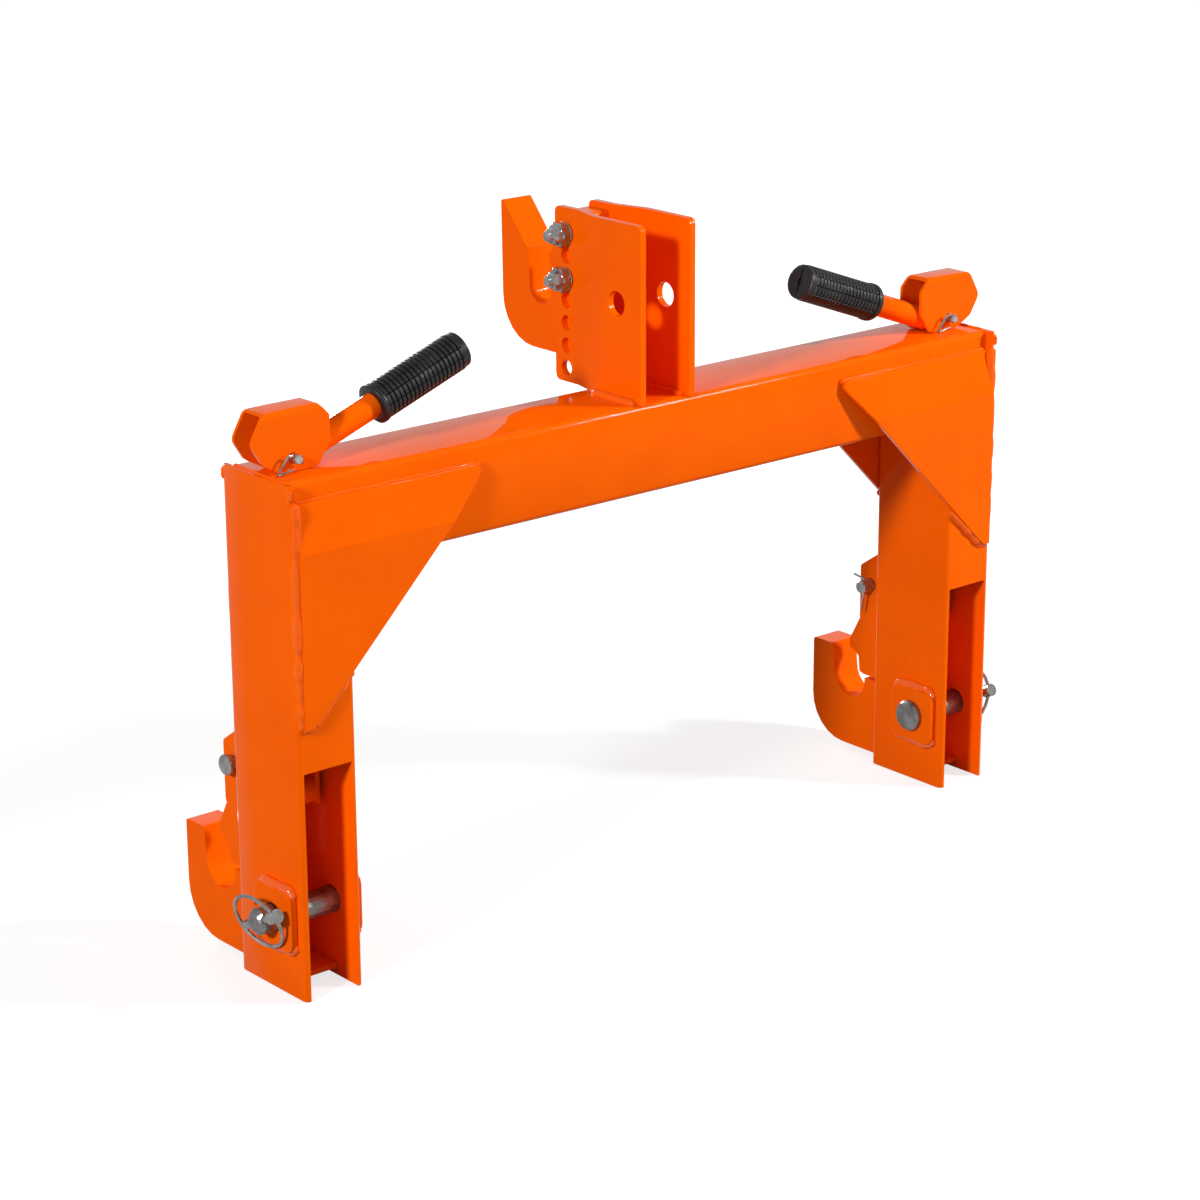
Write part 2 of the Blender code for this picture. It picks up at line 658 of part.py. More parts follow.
def latch(side, sign, pivot_empty):
    """Bell crank: nose over the hook's slot behind the leg, arm to the lift rod inside it."""
    pivot = Vector((y_from_back(LATCH_PIVOT_REACH), LATCH_PIVOT_Z))
    arm = Vector((-cos(LATCH_DROOP), -sin(LATCH_DROOP)))
    rise = Vector((-sin(LATCH_DROOP), cos(LATCH_DROOP)))
    half = LATCH_ARM_HALF_HEIGHT

    def beside(distance, offset):
        return tuple(pivot + arm * distance + rise * offset)

    def from_pivot(corners, level=0):
        return [(pivot.x + y, pivot.y + level + z, radius) for y, z, radius in corners]

    end = LATCH_SLOT_END + half
    under_arm = [
        (*beside(end, half), half * 0.9),
        (*beside(end, -half), half * 0.9),
        (*beside(LATCH_ARM_ROOT_BELOW, -half), LATCH_ROOT_RADIUS),
    ]
    over_arm = [(*beside(LATCH_ARM_ROOT_ABOVE, half), LATCH_SHOULDER_RADIUS)]
    outline = rounded(under_arm + from_pivot([LATCH_THROAT])
                      + from_pivot(LATCH_NOSE, -LATCH_BOTTOM_DROP)
                      + from_pivot(LATCH_SHOULDER) + over_arm)
    hole = circle(tuple(pivot), LATCH_PIN_DIAMETER + 2 * PIN_PLAY)
    facing = atan2(arm.y, arm.x)
    slot = (arc(tuple(pivot + arm * LATCH_SLOT_END), LATCH_SLOT_WIDTH / 2,
                facing - pi / 2, facing + pi / 2, 6)
            + arc(tuple(pivot + arm * LATCH_SLOT_START), LATCH_SLOT_WIDTH / 2,
                  facing + pi / 2, facing + 3 * pi / 2, 6))
    mesh = flat_mesh("latch_" + side, [outline, hole, slot], LATCH_THICKNESS)
    item = solid("latch_" + side, mesh, at(UPRIGHT_ACROSS, (sign * LEG_X, 0, 0)), "paint",
                 pivot_empty)
    smooth(item)


def headed_pin(name, diameter, length, head, head_thickness, chamfer, matrix, kind, parent=None):
    """Clevis pin along its own Z, head on top at height 0 and tail at -length."""
    mesh = turned_mesh(name, [
        (0, head_thickness), (head / 2 * 0.9, head_thickness), (head / 2, head_thickness * 0.7),
        (head / 2, 0), (diameter / 2, 0), (diameter / 2, chamfer - length),
        (diameter / 2 - chamfer, -length), (0, -length),
    ])
    pin = solid(name, mesh, matrix, kind, parent)
    smooth(pin)
    return pin


def latch_pin(side, sign):
    length = LATCH_PIN_HEAD_REACH + LATCH_PIN_TAIL_REACH
    y = y_from_back(LATCH_PIVOT_REACH)
    pin = headed_pin("latch_pin_" + side, LATCH_PIN_DIAMETER, length, LATCH_HEAD_DIAMETER,
                     LATCH_HEAD_THICKNESS, 0.001,
                     along_axis((sign, 0, 0), (sign * (LEG_X + LATCH_PIN_HEAD_REACH), y, LATCH_PIVOT_Z)), "zinc")
    hole_x = sign * (LEG_X - LATCH_PIN_TAIL_REACH + LATCH_COTTER_INSET)
    cut(pin, drill("latch_cotter_hole_" + side, COTTER_HOLE, 2 * LATCH_PIN_DIAMETER, (0, 0, 1),
                   (hole_x, y, LATCH_PIVOT_Z), SMALL_SEGMENTS))
    reach = LATCH_PIN_DIAMETER / 2
    points = [(hole_x, y + 0.013, LATCH_PIVOT_Z + reach + 0.003),
              (hole_x, y + 0.003, LATCH_PIVOT_Z + reach + 0.0015),
              (hole_x, y, LATCH_PIVOT_Z + reach),
              (hole_x, y, LATCH_PIVOT_Z - reach),
              (hole_x, y + 0.0005, LATCH_PIVOT_Z - reach - 0.003),
              (hole_x, y + 0.003, LATCH_PIVOT_Z - reach - 0.017)]
    mesh = wire_mesh("latch_cotter_" + side, points, COTTER_WIRE)
    smooth(solid("latch_cotter_" + side, mesh, Matrix.Identity(4), "zinc"))


# Lift rods

def lift_rod(side, sign, rod_empty):
    """Round rod with an eye for the lever above and a fork for the latch below."""
    top = LEVER_PIN_Z
    fork_half = LATCH_THICKNESS / 2 + LATCH_SIDE_PLAY + CHEEK_THICKNESS
    bridge_bottom = ROD_PIN_Z + BRIDGE_RISE
    bridge_top = FORK_TOP
    inner = fork_half - CHEEK_THICKNESS
    bottom = ROD_PIN_Z - FORK_PIN_RISE
    centre_x = sign * LEG_X
    fork_outline = [
        (-fork_half, bottom), (-fork_half, bridge_top), (fork_half, bridge_top),
        (fork_half, bottom), (inner, bottom), (inner, bridge_bottom),
        (-inner, bridge_bottom), (-inner, bottom),
    ]
    mesh = flat_mesh("fork_" + side, [fork_outline], CHEEK_DEPTH)
    rod = solid("lift_rod_" + side, mesh, at(UPRIGHT_ALONG, (centre_x, ROD_Y, 0)), "paint",
                rod_empty)
    shaft_bottom = bridge_top - BRIDGE_THICKNESS / 2
    shaft = turned_mesh("shaft_" + side, [(0, top), (ROD_DIAMETER / 2, top),
                                          (ROD_DIAMETER / 2, shaft_bottom), (0, shaft_bottom)])
    shaft = cutter("rod_shaft_" + side, shaft, Matrix.Translation((sign * ROD_X, ROD_Y, 0)))
    eye = flat_mesh("eye_" + side, [circle((0, 0), ROD_EYE_DIAMETER)], ROD_EYE_WIDTH)
    eye = cutter("rod_eye_" + side, eye, along_axis((0, 1, 0), (sign * ROD_X, ROD_Y, top)))
    combine(rod, "UNION", shaft, eye)
    cut(rod,
        drill("rod_eye_hole_" + side, LEVER_PIN_DIAMETER + 2 * PIN_PLAY, 2 * ROD_EYE_WIDTH, (0, 1, 0),
              (sign * ROD_X, ROD_Y, top)),
        drill("rod_fork_hole_" + side, ROD_PIN_DIAMETER + 2 * PIN_PLAY, 4 * fork_half, (1, 0, 0),
              (centre_x, ROD_Y, ROD_PIN_Z)))
    smooth(rod)
    length = 2 * (fork_half + ROD_PIN_PROUD)
    mesh = turned_mesh("rod_pin_" + side, [
        (0, length / 2), (ROD_PIN_DIAMETER / 2, length / 2),
        (ROD_PIN_DIAMETER / 2, -length / 2), (0, -length / 2)])
    smooth(solid("rod_pin_" + side, mesh, along_axis((1, 0, 0), (centre_x, ROD_Y, ROD_PIN_Z)),
                 "steel", rod_empty))
    mesh = turned_mesh("spring_seat_" + side, ring_profile(
        ROD_DIAMETER / 2 + GAP, SPRING_SEAT_DIAMETER / 2, SPRING_SEAT_Z - SPRING_SEAT_THICKNESS,
        SPRING_SEAT_Z))
    smooth(solid("spring_seat_" + side, mesh, Matrix.Translation((sign * ROD_X, ROD_Y, 0)),
                 "steel", rod_empty))


def latch_spring(side, sign):
    """Compression spring between the beam's underside and the seat on the rod."""
    low = SPRING_SEAT_Z + GAP + SPRING_WIRE / 2
    high = BEAM_BOTTOM - GAP - SPRING_WIRE / 2
    count = SPRING_TURNS * SPRING_POINTS_PER_TURN
    points = []
    for i in range(count + 1):
        angle = 2 * pi * i / SPRING_POINTS_PER_TURN
        points.append((sign * ROD_X + SPRING_RADIUS * cos(angle),
                       ROD_Y + SPRING_RADIUS * sin(angle), low + (high - low) * i / count))
    mesh = wire_mesh("latch_spring_" + side, points, SPRING_WIRE)
    smooth(solid("latch_spring_" + side, mesh, Matrix.Identity(4), "spring"))


# Cam levers

def lever_head(side, sign, lever_empty):
    """Folded channel whose outline is the cam that rolls on the beam."""
    half = CAM_WIDTH / 2
    top = CAM_TOP
    outline = rounded([(-sign * x, z, radius) for x, z, radius in CAM_OUTLINE])
    hole = circle((0, 0), LEVER_PIN_DIAMETER + 2 * PIN_PLAY)
    mesh = flat_mesh("lever_head_" + side, [outline, hole], CAM_WIDTH)
    centre = (sign * ROD_X, ROD_Y, LEVER_PIN_Z)
    head = solid("lever_head_" + side, mesh, at(UPRIGHT_ALONG, centre), "paint", lever_empty)
    open_end = -2 * top
    channel = rounded([
        (-half, open_end, 0), (-half, top, CAM_BEND), (half, top, CAM_BEND),
        (half, open_end, 0),
        (half - CAM_PLATE, open_end, 0),
        (half - CAM_PLATE, top - CAM_PLATE, CAM_BEND - CAM_PLATE),
        (CAM_PLATE - half, top - CAM_PLATE, CAM_BEND - CAM_PLATE),
        (CAM_PLATE - half, open_end, 0),
    ])
    fold = flat_mesh("channel_" + side, [channel], 4 * top)
    combine(head, "INTERSECT", cutter("lever_fold_" + side, fold, at(UPRIGHT_ACROSS, centre)))
    smooth(head)


def lever_bar(side, sign, lever_empty):
    """Round bar welded between the channel's sides, with its ribbed rubber grip."""
    direction = Vector((-sign * cos(BAR_SLOPE), 0, sin(BAR_SLOPE)))
    foot = Vector((sign * ROD_X, ROD_Y, LEVER_PIN_Z - BAR_DROP))
    placing = along_axis(direction, foot)
    radius = BAR_DIAMETER / 2
    mesh = turned_mesh("lever_bar_" + side, [(0, BAR_END), (radius, BAR_END),
                                             (radius, BAR_START), (0, BAR_START)])
    smooth(solid("lever_bar_" + side, mesh, placing, "paint", lever_empty))
    start = BAR_END + GRIP_END_WALL + GAP - GRIP_LENGTH
    end = BAR_END + GRIP_END_WALL + GAP
    bore = radius + GAP
    body = GRIP_DIAMETER / 2
    rib = body + GRIP_RIB_HEIGHT
    ribs_start = start + GRIP_FLANGE_LENGTH + GRIP_RIB_MARGIN
    pitch = (end - GRIP_PLAIN_END - ribs_start) / GRIP_RIBS
    profile = [(0, end), (body - GRIP_ROUNDING, end), (body, end - GRIP_ROUNDING)]
    for i in range(GRIP_RIBS, 0, -1):
        low = ribs_start + pitch * (i - 1)
        profile += [(body, low + pitch * 0.85), (rib, low + pitch * 0.5), (body, low + pitch * 0.15)]
    flange = GRIP_FLANGE / 2
    profile += [(body, start + GRIP_FLANGE_LENGTH), (flange, start + GRIP_FLANGE_LENGTH - 0.001),
                (flange, start), (bore, start), (bore, BAR_END + GAP), (0, BAR_END + GAP)]
    grip = solid("grip_" + side, turned_mesh("grip_" + side, profile, GRIP_SEGMENTS), placing, "grip",
                 lever_empty)
    smooth(grip)


def lever_pin(side, sign, lever_empty):
    half = CAM_WIDTH / 2
    x = sign * ROD_X
    back = ROD_Y + half + GAP
    length = CAM_WIDTH + 2 * GAP + LEVER_PIN_TAIL
    pin = headed_pin("lever_pin_" + side, LEVER_PIN_DIAMETER, length, LEVER_PIN_HEAD,
                     LEVER_PIN_HEAD_THICKNESS, 0.001,
                     along_axis((0, 1, 0), (x, back, LEVER_PIN_Z)), "zinc", lever_empty)
    y = ROD_Y - half - GAP - LEVER_PIN_TAIL * 0.6
    turn = LEVER_COTTER_TURN
    across = Vector((cos(turn), 0, sin(turn)))
    up = Vector((-sin(turn), 0, cos(turn)))
    centre = Vector((x, y, LEVER_PIN_Z))
    cut(pin, drill("lever_cotter_hole_" + side, COTTER_HOLE, 2 * LEVER_PIN_DIAMETER, across, centre, SMALL_SEGMENTS))
    path = [(0.0065, 0.0), (-0.0060, 0.0), (-0.0078, -0.0008), (-0.0086, -0.0028),
            (-0.0098, -0.0165), (-0.0090, -0.0177), (-0.0076, -0.0172), (0.0016, -0.0078)]
    points = [centre + across * a + up * b for a, b in path]
    mesh = wire_mesh("lever_cotter_" + side, points, COTTER_WIRE)
    smooth(solid("lever_cotter_" + side, mesh, Matrix.Identity(4), "zinc", lever_empty))


# Lower link pins

def link_pin(side, sign, pin_empty):
    y = y_from_front(LINK_PIN_INSET)
    boss_stack = BOSS_THICKNESS + GAP
    inner = LEG_INNER - boss_stack - GAP
    outer = LEG_OUTER + boss_stack + LINK_PIN_PROUD
    pin = headed_pin("link_pin_" + side, LINK_PIN_DIAMETER, outer - inner, LINK_HEAD_DIAMETER,
                     LINK_HEAD_THICKNESS, LINK_PIN_CHAMFER,
                     along_axis((-sign, 0, 0), (sign * inner, y, LINK_PIN_Z)), "steel", pin_empty)
    centre = Vector((sign * (outer - LINCH_END_DISTANCE), y, LINK_PIN_Z))
    body = Vector((0, cos(LINCH_SLOPE), -sin(LINCH_SLOPE)))
    upward = Vector((0, sin(LINCH_SLOPE), cos(LINCH_SLOPE)))
    tilt = Vector((sign * sin(RING_TILT), 0, 0)) + upward * cos(RING_TILT)
    cut(pin, drill("linch_way_" + side, LINCH_DIAMETER + 2 * PIN_PLAY, 2 * LINK_PIN_DIAMETER, body, centre))
    radius = LINCH_DIAMETER / 2
    head_radius = LINCH_HEAD_DIAMETER / 2
    head_near = RING_SHIFT - RING_RADIUS + LINCH_HEAD_LENGTH / 2
    head_far = head_near - LINCH_HEAD_LENGTH
    mesh = turned_mesh("linch_pin_" + side, [
        (0, LINCH_TIP_REACH), (radius * 0.6, LINCH_TIP_REACH), (radius, LINCH_TIP_REACH - 0.003),
        (radius, head_near), (head_radius, head_near), (head_radius, head_far), (0, head_far)])
    linch = solid("linch_pin_" + side, mesh, along_axis(body, centre), "zinc", pin_empty)
    ring_centre = centre + body * RING_SHIFT
    eye_centre = ring_centre - body * RING_RADIUS
    ring_empty = axis_empty("ring_axis_" + side, eye_centre)
    cut(linch, drill("ring_way_" + side, RING_EYE, 2 * LINCH_HEAD_DIAMETER, tilt, eye_centre, SMALL_SEGMENTS))
    smooth(linch)
    count = 22
    points = [ring_centre + body * RING_RADIUS * cos(2 * pi * i / count)
              + tilt * RING_RADIUS * sin(2 * pi * i / count) for i in range(count)]
    mesh = wire_mesh("linch_ring_" + side, points, RING_WIRE, closed=True)
    smooth(solid("linch_ring_" + side, mesh, Matrix.Identity(4), "zinc", ring_empty))


# Mast and top hook

def mast_plate(side, sign):
    """Plate on the beam, set wide for the top link and bent in to clamp the hook."""
    front_x = MAST_FRONT_GAP / 2 + MAST_PLATE / 2
    back_x = HOOK_THICKNESS / 2 + GAP + MAST_PLATE / 2
    front = BEAM_FRONT - MAST_OVERHANG
    back = BEAM_BACK + MAST_REACH
    line = [(sign * front_x, front), (sign * front_x, BEAM_BACK - MAST_BEND_START),
            (sign * back_x, BEAM_BACK + MAST_BEND_END), (sign * back_x, back)]
    height = MAST_TOP - BEAM_TOP - GAP
    middle = BEAM_TOP + GAP + height / 2
    mesh = flat_mesh("mast_plate_" + side, [strip(line, MAST_PLATE)], height)
    plate = solid("mast_plate_" + side, mesh, Matrix.Translation((0, 0, middle)), "paint")
    outline = rounded([
        (front, BEAM_TOP + GAP, 0), (back, BEAM_TOP + GAP, MAST_CORNER),
        (back, MAST_TOP, MAST_CORNER), (front, MAST_TOP, MAST_CORNER)])
    holes = [circle((BEAM_FRONT + TOP_LINK_INSET, MAST_TOP - TOP_LINK_DROP), TOP_LINK_HOLE)]
    for i in range(BOLT_HOLES):
        holes.append(circle((BEAM_BACK + BOLT_ROW_REACH, bolt_height(i)),
                            BOLT_HOLE, SMALL_SEGMENTS + 2))
    shape = flat_mesh("mast_outline_" + side, [outline] + holes, 4 * front_x)
    combine(plate, "INTERSECT", cutter("mast_shape_" + side, shape, at(UPRIGHT_ACROSS, (0, 0, 0))))
    smooth(plate)


def top_hook():
    top = MAST_TOP - TOP_HOOK_SHANK_TOP_DROP
    tip = MAST_TOP - TOP_HOOK_TIP_DROP
    front = BEAM_BACK + TOP_HOOK_ROOT
    back = BEAM_BACK + TOP_HOOK_REACH
    shank = BEAM_BACK + TOP_HOOK_SHANK_REACH
    bottom = tip - TOP_HOOK_HEIGHT
    centre_z = tip - TOP_HOOK_SEAT_DROP + TOP_HOOK_SLOT_RADIUS
    seat = arc((shank + TOP_HOOK_SLOT_RADIUS, centre_z), TOP_HOOK_SLOT_RADIUS, 0, -pi, SLOT_STEPS)
    body = rounded([
        (shank, top - TOP_HOOK_HORN_DROP, TOP_HOOK_HORN_RADIUS),
        (shank - TOP_HOOK_HORN_WIDTH, top, HOOK_CORNER),
        (front, top, HOOK_CORNER),
        (front, bottom, HOOK_CORNER),
        (back - TOP_HOOK_BACK_LEAN, bottom, TOP_HOOK_HEEL_RADIUS),
        (back, tip, TOP_HOOK_TIP_RADIUS),
        (back - TOP_HOOK_CHAMFER_WIDTH, tip - TOP_HOOK_CHAMFER_DROP, HOOK_CORNER),
    ], steps=HOOK_FILLET_STEPS)
    holes = [circle((BEAM_BACK + BOLT_ROW_REACH, bolt_height(i)),
                    BOLT_HOLE, SMALL_SEGMENTS + 2) for i in BOLTS_USED]
    mesh = flat_mesh("top_hook", [seat + body] + holes, HOOK_THICKNESS)
    smooth(solid("top_hook", mesh, at(UPRIGHT_ACROSS, (0, 0, 0)), "paint"))


def hexagon(flats):
    return circle((0, 0), flats / cos(pi / 6), 6)


def hook_bolt(name, index):
    """Hexagon bolt through both mast plates and the hook, with a washer and a lock nut."""
    y = BEAM_BACK + BOLT_ROW_REACH
    z = bolt_height(index)
    face = HOOK_THICKNESS / 2 + 2 * GAP + MAST_PLATE
    nut_start = face + WASHER_THICKNESS + GAP
    tail = nut_start + NUT_THICKNESS + NUT_COLLAR + BOLT_TAIL
    radius = BOLT_DIAMETER / 2
    placing = along_axis((1, 0, 0), (0, y, z))
    mesh = flat_mesh(name + "_bolt", [hexagon(NUT_FLATS)], BOLT_HEAD_THICKNESS)
    bolt = solid(name + "_bolt", mesh,
                 along_axis((1, 0, 0), (face + BOLT_HEAD_THICKNESS / 2, y, z)), "zinc")
    shank = turned_mesh(name + "_shank", [
        (0, face + BOLT_HEAD_THICKNESS / 2), (radius, face + BOLT_HEAD_THICKNESS / 2),
        (radius, 0.0015 - tail), (radius - 0.0015, -tail), (0, -tail)], SMALL_SEGMENTS + 2)
    combine(bolt, "UNION", cutter(name + "_shank", shank, placing))
    smooth(bolt)
    mesh = flat_mesh(name + "_nut", [hexagon(NUT_FLATS)], NUT_THICKNESS)
    nut = solid(name + "_nut", mesh,
                along_axis((1, 0, 0), (-nut_start - NUT_THICKNESS / 2, y, z)), "zinc")
    collar_end = nut_start + NUT_THICKNESS + NUT_COLLAR
    collar = turned_mesh(name + "_collar", [
        (0, -nut_start - NUT_THICKNESS / 2), (NUT_FLATS / 2 - 0.001, -nut_start - NUT_THICKNESS / 2),
        (NUT_FLATS / 2 - 0.001, 0.0015 - collar_end), (NUT_FLATS / 2 - 0.0025, -collar_end),
        (0, -collar_end)], SMALL_SEGMENTS + 2)
    combine(nut, "UNION", cutter(name + "_collar", collar, placing))
    cut(nut, drill(name + "_thread", BOLT_DIAMETER + 2 * PIN_PLAY, 4 * tail, (1, 0, 0), (0, y, z),
                   SMALL_SEGMENTS + 2))
    smooth(nut)
    mesh = turned_mesh(name + "_washer", ring_profile(
        radius + PIN_PLAY, WASHER_DIAMETER / 2, -face - WASHER_THICKNESS, -face), SMALL_SEGMENTS + 2)
    smooth(solid(name + "_washer", mesh, placing, "zinc"))


def build():
    beam()
    top_hook()
    hook_bolt("lower", BOLTS_USED[0])
    hook_bolt("upper", BOLTS_USED[1])
    boss_offset = GAP + BOSS_THICKNESS / 2
    for side, sign in SIDES:
        pivot = (sign * LEG_X, y_from_back(LATCH_PIVOT_REACH), LATCH_PIVOT_Z)
        link = (sign * LEG_X, y_from_front(LINK_PIN_INSET), LINK_PIN_Z)
        rod_empty = axis_empty("rod_axis_" + side, (sign * ROD_X, ROD_Y, LEVER_PIN_Z))
        lever_empty = axis_empty("lever_axis_" + side, (sign * ROD_X, ROD_Y, LEVER_PIN_Z))
        latch_empty = axis_empty("latch_axis_" + side, pivot)
        pin_empty = axis_empty("link_axis_" + side, link)
        leg(side, sign)
        boss(side, sign, "outer_boss", LEG_OUTER + boss_offset)
        boss(side, sign, "inner_boss", LEG_INNER - boss_offset)
        gusset(side, sign, front=True)
        gusset(side, sign, front=False)
        shelf(side, sign)
        lower_hook(side, sign)
        latch_lug(side, sign, "latch_lug_a", -1)
        latch_lug(side, sign, "latch_lug_b", 1)
        latch(side, sign, latch_empty)
        latch_pin(side, sign)
        lift_rod(side, sign, rod_empty)
        latch_spring(side, sign)
        lever_head(side, sign, lever_empty)
        lever_bar(side, sign, lever_empty)
        lever_pin(side, sign, lever_empty)
        link_pin(side, sign, pin_empty)
        mast_plate(side, sign)


build()
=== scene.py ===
"""Looks of the three point quick hitch: rounded edges, welds, threads, grips and finishes."""
import json
from math import cos, pi, radians, sin
from random import Random

import bmesh
import bpy
from mathutils import Matrix, Vector


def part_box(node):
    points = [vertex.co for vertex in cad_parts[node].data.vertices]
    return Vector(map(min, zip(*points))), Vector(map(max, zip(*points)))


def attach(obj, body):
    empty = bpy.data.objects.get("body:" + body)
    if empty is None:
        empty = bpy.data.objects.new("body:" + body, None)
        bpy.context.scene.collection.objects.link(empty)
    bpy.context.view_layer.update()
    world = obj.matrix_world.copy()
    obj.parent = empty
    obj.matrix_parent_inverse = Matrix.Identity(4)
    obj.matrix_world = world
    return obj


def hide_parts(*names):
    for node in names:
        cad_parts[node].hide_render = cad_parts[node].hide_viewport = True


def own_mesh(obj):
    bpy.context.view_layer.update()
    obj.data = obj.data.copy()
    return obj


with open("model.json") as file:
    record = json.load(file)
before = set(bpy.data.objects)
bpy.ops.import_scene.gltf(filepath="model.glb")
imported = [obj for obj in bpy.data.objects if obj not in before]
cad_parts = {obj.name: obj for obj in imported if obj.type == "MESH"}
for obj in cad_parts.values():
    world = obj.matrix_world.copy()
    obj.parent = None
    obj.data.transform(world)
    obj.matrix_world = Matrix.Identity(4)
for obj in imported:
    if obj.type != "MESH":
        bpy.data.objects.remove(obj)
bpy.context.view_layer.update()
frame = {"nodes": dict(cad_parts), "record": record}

# Camera of the photograph
CAMERA_PLACE = (-1.71345, -2.03595, 1.08659)
CAMERA_TURN = (radians(72.0725), radians(0.2676), radians(-40.2411))
CAMERA_LENS = 98.6325
CAMERA_SENSOR = 36.0
CAMERA_CLIP_END = 60.0

# Finish colours as written on the shaders, linear
ORANGE = (1.0, 0.128, 0.0, 1.0)
ORANGE_DEEP = (0.940, 0.112, 0.0, 1.0)
PAINT_IOR = 1.02
COAT_ROUGHNESS = 0.06
PAINT_ROUGHNESS = (0.20, 0.32)
PAINT_CLOUD_SCALE = 14.0
PAINT_SMEAR_SCALE = 45.0
PEEL_SCALE = 900.0
PEEL_DEPTH = 0.00005
LUMP_SCALE = 330.0
LUMP_DEPTH_ON_WELD = 0.00055
LUMP_DEPTH_ON_BOSS_WELD = 0.0015
COAT_FACE_ON = 0.08
COAT_ON_WELD = 0.34
COAT_ON_BOSS_WELD = 0.9
COAT_AT_GRAZING = 1.0
COAT_FACING_START = 0.54
COAT_FACING_END = 0.66
PLATING_METALLIC = 0.85
ZINC = (0.52, 0.52, 0.52, 1.0)
ZINC_WARM = (0.22, 0.22, 0.215, 1.0)
STEEL = (0.36, 0.36, 0.355, 1.0)
STEEL_DARK = (0.15, 0.15, 0.145, 1.0)
SPRING_COLOUR = (0.12, 0.12, 0.125, 1.0)
SPRING_EDGE = (0.22, 0.21, 0.20, 1.0)
RUBBER = (0.006, 0.006, 0.007, 1.0)
RUBBER_DUST = (0.014, 0.014, 0.015, 1.0)
NYLON = (0.62, 0.66, 0.70, 1.0)
NYLON_SHADE = (0.50, 0.54, 0.58, 1.0)

SIDES = (("left", -1), ("right", 1))
WORLD = bpy.context.scene.collection
BODY_OF = {node: body for body, nodes in frame["record"]["behaviour"]["bodies"].items()
           for node in nodes}
SLOT_OF = {part["node"]: part["material_slot"] for part in frame["record"]["subparts"]}


# Materials

def link(tree, source, output, target, socket):
    tree.links.new(source.outputs[output], target.inputs[socket])


def add(tree, kind, **values):
    """New node, each value set on the socket or the property of that name."""
    node = tree.nodes.new(kind)
    for name, value in values.items():
        if name in node.inputs:
            node.inputs[name].default_value = value
        else:
            setattr(node, name, value)
    return node


def spread(tree, source, output, low, high):
    """Maps a 0 to 1 pattern onto a range of values."""
    node = add(tree, "ShaderNodeMapRange")
    node.inputs["To Min"].default_value = low
    node.inputs["To Max"].default_value = high
    link(tree, source, output, node, "Value")
    return node


def blend_of(tree, source, output, first, second, low=0.35, high=0.65):
    """Fades between two colours as a pattern goes from low to high."""
    ramp = add(tree, "ShaderNodeValToRGB")
    ramp.color_ramp.elements[0].position = low
    ramp.color_ramp.elements[0].color = first
    ramp.color_ramp.elements[1].position = high
    ramp.color_ramp.elements[1].color = second
    link(tree, source, output, ramp, "Fac")
    return ramp


def new_material(name, metallic, specular=0.5):
    material = bpy.data.materials.new(name)
    material.use_nodes = True
    tree = material.node_tree
    shader = tree.nodes["Principled BSDF"]
    shader.inputs["Metallic"].default_value = metallic
    shader.inputs["Specular IOR Level"].default_value = specular
    place = add(tree, "ShaderNodeTexCoord")
    return material, tree, shader, place


def pattern(tree, place, scale, detail=3.0, roughness=0.5, stretch=None):
    """Noise in the piece's own coordinates, stretched along its axes if asked."""
    noise = add(tree, "ShaderNodeTexNoise", Scale=scale, Detail=detail, Roughness=roughness)
    if stretch:
        mapping = add(tree, "ShaderNodeMapping", Scale=stretch)
        link(tree, place, "Object", mapping, "Vector")
        link(tree, mapping, "Vector", noise, "Vector")
    else:
        link(tree, place, "Object", noise, "Vector")
    return noise


def bump_from(tree, source, output, shader, distance, strength, before=None):
    """Bump of a depth in metres, on top of the bump before it."""
    bump = add(tree, "ShaderNodeBump", Distance=distance, Strength=strength)
    link(tree, source, output, bump, "Height")
    if before:
        link(tree, before, "Normal", bump, "Normal")
    link(tree, bump, "Normal", shader, "Normal")
    return bump


def paint(name, face_on, lump_depth=0.0):
    """Glossy powder coat: faint cloudiness, orange peel, and a sheen at grazing angles."""
    material, tree, shader, place = new_material(name, 0.0)
    shader.inputs["IOR"].default_value = PAINT_IOR
    shader.inputs["Coat Roughness"].default_value = COAT_ROUGHNESS
    cloud = pattern(tree, place, PAINT_CLOUD_SCALE, 4.0)
    colour = blend_of(tree, cloud, "Fac", ORANGE_DEEP, ORANGE, 0.25, 0.6)
    link(tree, colour, "Color", shader, "Base Color")
    smear = pattern(tree, place, PAINT_SMEAR_SCALE)
    link(tree, spread(tree, smear, "Fac", *PAINT_ROUGHNESS), "Result", shader, "Roughness")
    slope = add(tree, "ShaderNodeLayerWeight", Blend=0.5)
    gloss = spread(tree, slope, "Facing", face_on, COAT_AT_GRAZING)
    gloss.inputs["From Min"].default_value = COAT_FACING_START
    gloss.inputs["From Max"].default_value = COAT_FACING_END
    link(tree, gloss, "Result", shader, "Coat Weight")
    fine = pattern(tree, place, PEEL_SCALE, 2.0)
    bump = bump_from(tree, fine, "Fac", shader, PEEL_DEPTH, 0.6)
    if lump_depth:
        lumps = pattern(tree, place, LUMP_SCALE, 3.0, 0.55)
        bump_from(tree, lumps, "Fac", shader, lump_depth, 0.9, bump)
    return material


